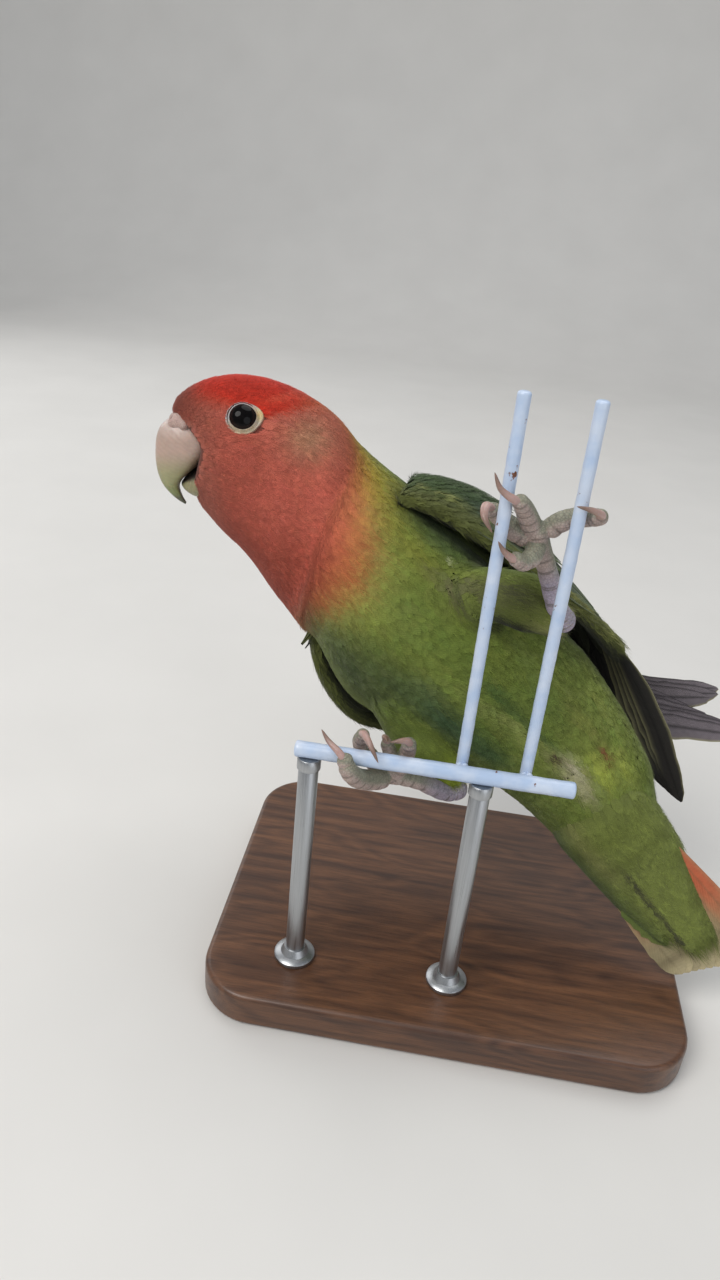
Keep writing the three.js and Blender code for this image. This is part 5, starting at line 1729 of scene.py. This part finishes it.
def scaled_skin(points, quads, lines):
    """Raises broad scales across the legs and toes, and soft pads under the toes."""
    normals = vertex_normals(points, quads)
    pad = smooth(-normals @ PADS_FACE_FROM, -0.1, 0.6)
    best = np.full(len(points), 1e9)
    height, shade, on_shank = np.zeros((3, len(points)))
    for order, (line, radii) in enumerate(lines):
        k, middle, way, _, _ = line_frames(line, 160)
        size = steps_along(middle).sum()
        k, middle, way = k[::4], middle[::4], way[::4]
        gaps = np.linalg.norm(points[:, None] - middle, axis=-1)
        near = gaps.argmin(1)
        dist = gaps.min(1) / spread_over(k[near], radii)
        mine = dist < best
        best = np.where(mine, dist, best)
        along = k[near] * size + np.einsum("ij,ij->i", points - middle[near], way[near])
        scales = np.abs(np.sin(np.pi * along / SCALE_STEP)) ** 0.4
        pads = np.abs(np.sin(np.pi * along / PAD_STEP)) ** 0.6
        height = np.where(mine, between(0.07 * scales, 0.16 * pads, pad), height)
        shade = np.where(mine, between(scales, pads, pad), shade)
        on_shank = np.where(mine, float(order == 0), on_shank)
    from_ankle = np.linalg.norm(points - np.array(lines[0][0][-1]), axis=1)
    tint = layered(
        FOOT_SKIN, points.shape,
        (FOOT_SCALES, 0.6 * (1 - pad)),
        (FOOT_PADS, 0.65 * pad),
        (SHANK_SKIN, 0.8 * smooth(from_ankle, 6, 12) * on_shank),
        (SCALE_EDGE, 0.5 * (1 - smooth(shade, 0.2, 0.7))),
    )
    return points + normals * (height + 0.08)[:, None], tint


def make_claw(name, line, material):
    grid = tube_form(line, CLAW_R, 50, 20, 0.8)
    k, _ = mesh_grid(np.linspace(0, 1, 50), circle(20))
    tint = layered(CLAW, grid.shape, (CLAW_TIP, smooth(k, 0.35, 0.95)))
    formed("claw", f"claw_{name}", f"nail_{name}", grid, material, tint,
           np.stack((k * 0, k * 8, k), -1))


# Perch and stand
SIDES = (("left", 0), ("right", 1))
# Each profile is how far along and how wide. The foot and the cup are the rods' two ends.
ROD_FOOT = [(0, 4.2), (0.3, 4.4), (1.0, 4.4), (1.3, 4.1), (1.6, 3.0), (2.6, 2.5), (3.0, 2.3),
            (3.05, 2.0)]
ROD_CUP = [(0, 2.0), (0.3, 2.35), (2.4, 2.35), (2.7, 2.1)]
ROD_CUP_DEEP = 2.6


def turned(start, end, profile):
    """A round form along a line. profile lists how far along and how wide."""
    start, end = np.asarray(start, float), np.asarray(end, float)
    way = unit(end - start)
    side = unit(np.cross(way, (0.0, 1.0, 0.02)))
    a = circle(48)[:, None]
    ring = side * np.cos(a) + np.cross(way, side) * np.sin(a)
    return loft(np.array([start + way * d + ring * r for d, r in profile]))


def wire(start, end, radius, count):
    """A wire with slightly uneven paint and rounded cut ends."""
    length = math.dist(start, end)
    d = np.linspace(0.5, length - 0.5, count)
    waves = 0.012 * np.sin(d * 0.71 + radius) + 0.010 * np.sin(d * 1.93)
    r = radius * (1 + waves + random.normal(0, 0.004, count))
    ends = [(0.0, radius * 0.55), (0.12, radius * 0.84), (0.3, radius * 0.97)]
    profile = ends + list(zip(d, r)) + [(length - x, y) for x, y in reversed(ends)]
    return turned(start, end, profile)


def make_perch(material):
    low, high = CROSS_X
    piece("perch_wire", ("perch_cross_wire",), "wire_cross",
          *wire((low, CROSS_Y, CROSS_Z), (high, CROSS_Y, CROSS_Z), CROSS_R, 90), material)
    for name, i in SIDES:
        x = UPRIGHT_X[i]
        ends = (x, WIRE_Y, CROSS_Z - CROSS_R), (x, WIRE_Y, UPRIGHT_TOP)
        parts = [wire(*ends, UPRIGHT_R, 110)]
        parts += [weld(x + turn * 0.45 * UPRIGHT_R) for turn in (-1, 1)]
        piece("perch_wire", (f"perch_upright_{name}",), f"wire_upright_{name}", *joined(parts),
              material)


def weld(x):
    """A small bead of paint and metal where two wires cross."""
    spot = ball(ball_turns(14, 0.03), 24)[..., [1, 0, 2]] * (0.9, 0.75, 1.3)
    return loft(np.array((x, (WIRE_Y + CROSS_Y) / 2 + 0.15, CROSS_Z)) + spot)


def rounded_edge(turns):
    """A base's edge as it rounds over: how far in and how far up or down, for each turn."""
    return [(BASE["bevel"] * (1 - math.sin(b)), BASE["bevel"] * (1 - math.cos(b))) for b in turns]


def make_stand(wood, steel):
    quarter = np.linspace(0, np.pi / 2, 12)
    turn = np.concatenate([quarter + n * np.pi / 2 for n in range(4)])
    sx, sy = np.repeat([1, -1, -1, 1], 12), np.repeat([1, 1, -1, -1], 12)

    def ring(height, inset):
        r = BASE["corner"] - inset
        x = sx * (BASE["x"] / 2 - BASE["corner"]) + r * np.cos(turn)
        y = sy * (BASE["y"] / 2 - BASE["corner"]) + r * np.sin(turn)
        return np.stack((x, y, np.full(len(turn), height)), -1)

    top = BASE["z"]
    profile = [(0, BASE["bevel"])]
    profile += [(high, inset) for inset, high in rounded_edge(np.linspace(0.2, 1.57, 6))]
    profile += [(top * 0.5, 0)]
    profile += [(top - drop, inset) for drop, inset in rounded_edge(np.linspace(0, 1.57, 7))]
    profile += [(top, BASE["bevel"] + 1.5)]
    piece("stand_wood", ("stand_base",), "plinth",
          *loft(np.array([ring(height, inset) for height, inset in profile])), wood, sharp=60)
    low, high = top + 0.05, CROSS_Z - CROSS_R - 0.02
    length = high - low
    rod = [(0, ROD_R), (1.0, ROD_R), (length - 0.6, ROD_R), (length - 0.1, ROD_R - 0.4),
           (length, ROD_R - 0.9)]
    for name, i in SIDES:
        ends = np.array(((ROD_X[i], CROSS_Y, low), (ROD_X[i], CROSS_Y, high)))
        cup_ends = ends[1] - (0, 0, ROD_CUP_DEEP), ends[1]
        parts = [turned(*ends, rod), turned(*ends, ROD_FOOT), turned(*cup_ends, ROD_CUP)]
        piece("stand_steel", (f"stand_rod_{name}",), f"rod_{name}", *joined(parts), steel,
              sharp=40)


# Floor, light and camera
FLOOR_HALF = 1500.0
FLOOR_DEPTH = 700.0
FLOOR_BEND = 350.0
BACKDROP_TOP = 1500.0


def make_stage(material):
    """A pale floor that curves up into a plain backdrop."""
    bend = np.linspace(0, np.pi / 2, 24)
    y = np.concatenate(([-FLOOR_HALF], FLOOR_DEPTH + FLOOR_BEND * np.sin(bend),
                        [FLOOR_DEPTH + FLOOR_BEND]))
    z = np.concatenate(([0.0], FLOOR_BEND * (1 - np.cos(bend)), [BACKDROP_TOP]))
    left = np.stack((np.full(len(y), -FLOOR_HALF), y, z), -1)
    n = len(y)
    i = np.arange(n - 1)
    quads = np.stack((i, i + n, i + n + 1, i + 1), -1)
    points = np.concatenate((left, left * (-1, 1, 1)))
    build("floor", points, quads, None, material)


LIGHTS_AIM = np.array((0.0, 0.0, 0.08))
# Each light's name, place, size, power and colour
LIGHTS = [
    ("key", (-0.38, -0.42, 0.72), 0.5, 4.2, (1.0, 0.98, 0.95)),
    ("fill", (0.5, -0.6, 0.3), 0.7, 1.4, (0.93, 0.96, 1.0)),
    ("top", (0.1, 0.3, 0.9), 0.7, 2.6, (1.0, 1.0, 1.0)),
    ("rim", (-0.5, 0.45, 0.4), 0.5, 1.0, (1.0, 1.0, 1.0)),
]


def make_lights():
    for name, spot, size, power, colour in LIGHTS:
        data = bpy.data.lights.new(name, "AREA")
        data.shape = "DISK"
        data.size = size
        data.energy = power
        data.color = colour
        light = placed(bpy.data.objects.new(name, data))
        light.location = spot
        back = unit(np.array(spot) - LIGHTS_AIM)
        right = unit(np.cross(-back, (0.0, 0.0, 1.0)))
        turn = Matrix((right, np.cross(back, right), back)).transposed()
        light.rotation_euler = turn.to_euler()
    world = bpy.data.worlds.new("studio")
    bpy.context.scene.world = world
    world.use_nodes = True
    background = world.node_tree.nodes["Background"]
    background.inputs["Color"].default_value = (0.86, 0.9, 0.96, 1)
    background.inputs["Strength"].default_value = 0.36
    bpy.context.scene.view_settings.view_transform = "Standard"


# The photograph's view, solved from the cage's straight wires
CAMERA_SPOT = (-0.012, -0.172, 0.164)
CAMERA_RIGHT = (0.9866, 0.1368, 0.0888)
CAMERA_UP = (-0.1414, 0.4466, 0.8835)
CAMERA_BACK = (0.0812, -0.8842, 0.46)


def make_camera():
    data = bpy.data.cameras.new("camera")
    data.sensor_width = 36.0
    data.lens = 26.0
    data.clip_start = 0.005
    camera = placed(bpy.data.objects.new("camera", data))
    turn = Matrix((CAMERA_RIGHT, CAMERA_UP, CAMERA_BACK)).transposed()
    camera.matrix_world = Matrix.Translation(CAMERA_SPOT) @ turn.to_4x4()
    bpy.context.scene.camera = camera


def main():
    make_camera()
    make_lights()
    make_stage(floor_material())
    plumage = feather_material("plumage_soft", 0.78, 0.12, 0.55, 0.035)
    quills = feather_material("plumage_quills", 0.55, 0.1, 0.5, 0.05)
    skin = bare_skin_material("feet_scales", 0.55, 0.55, 0.00012)
    pale_skin = bare_skin_material("eye_ring_skin", 0.3, 0.5, 0.00006)
    horn = horn_material("beak_horn", 0.4, 1.1, 0.00008)
    nail = horn_material("nail_horn", 0.35, 0.8, 0.00006)
    ground = Ground(*make_skin(feather_material("skin_under_feathers", 0.85, 0.1, 0.7, 0.05)))
    body_coat(ground, plumage)
    for side, place_v in (("left", 0.04), ("right", 0.52)):
        soft_coat("plumage_body", f"plumage_thigh_{side}", plumage,
                  thigh_vanes(ground, side, place_v), 16, 0.055)
    for side in WINGS:
        make_wing(side, quills, plumage)
    make_tail(quills, plumage)
    make_beak(horn)
    make_cere(pale_skin)
    wet = eye_material()
    for side in (1, -1):
        make_eye(side, ground, wet, pale_skin)
    for side in LEGS:
        make_foot(side, skin, nail)
    make_perch(paint_material())
    make_stand(wood_material(), steel_material())


main()
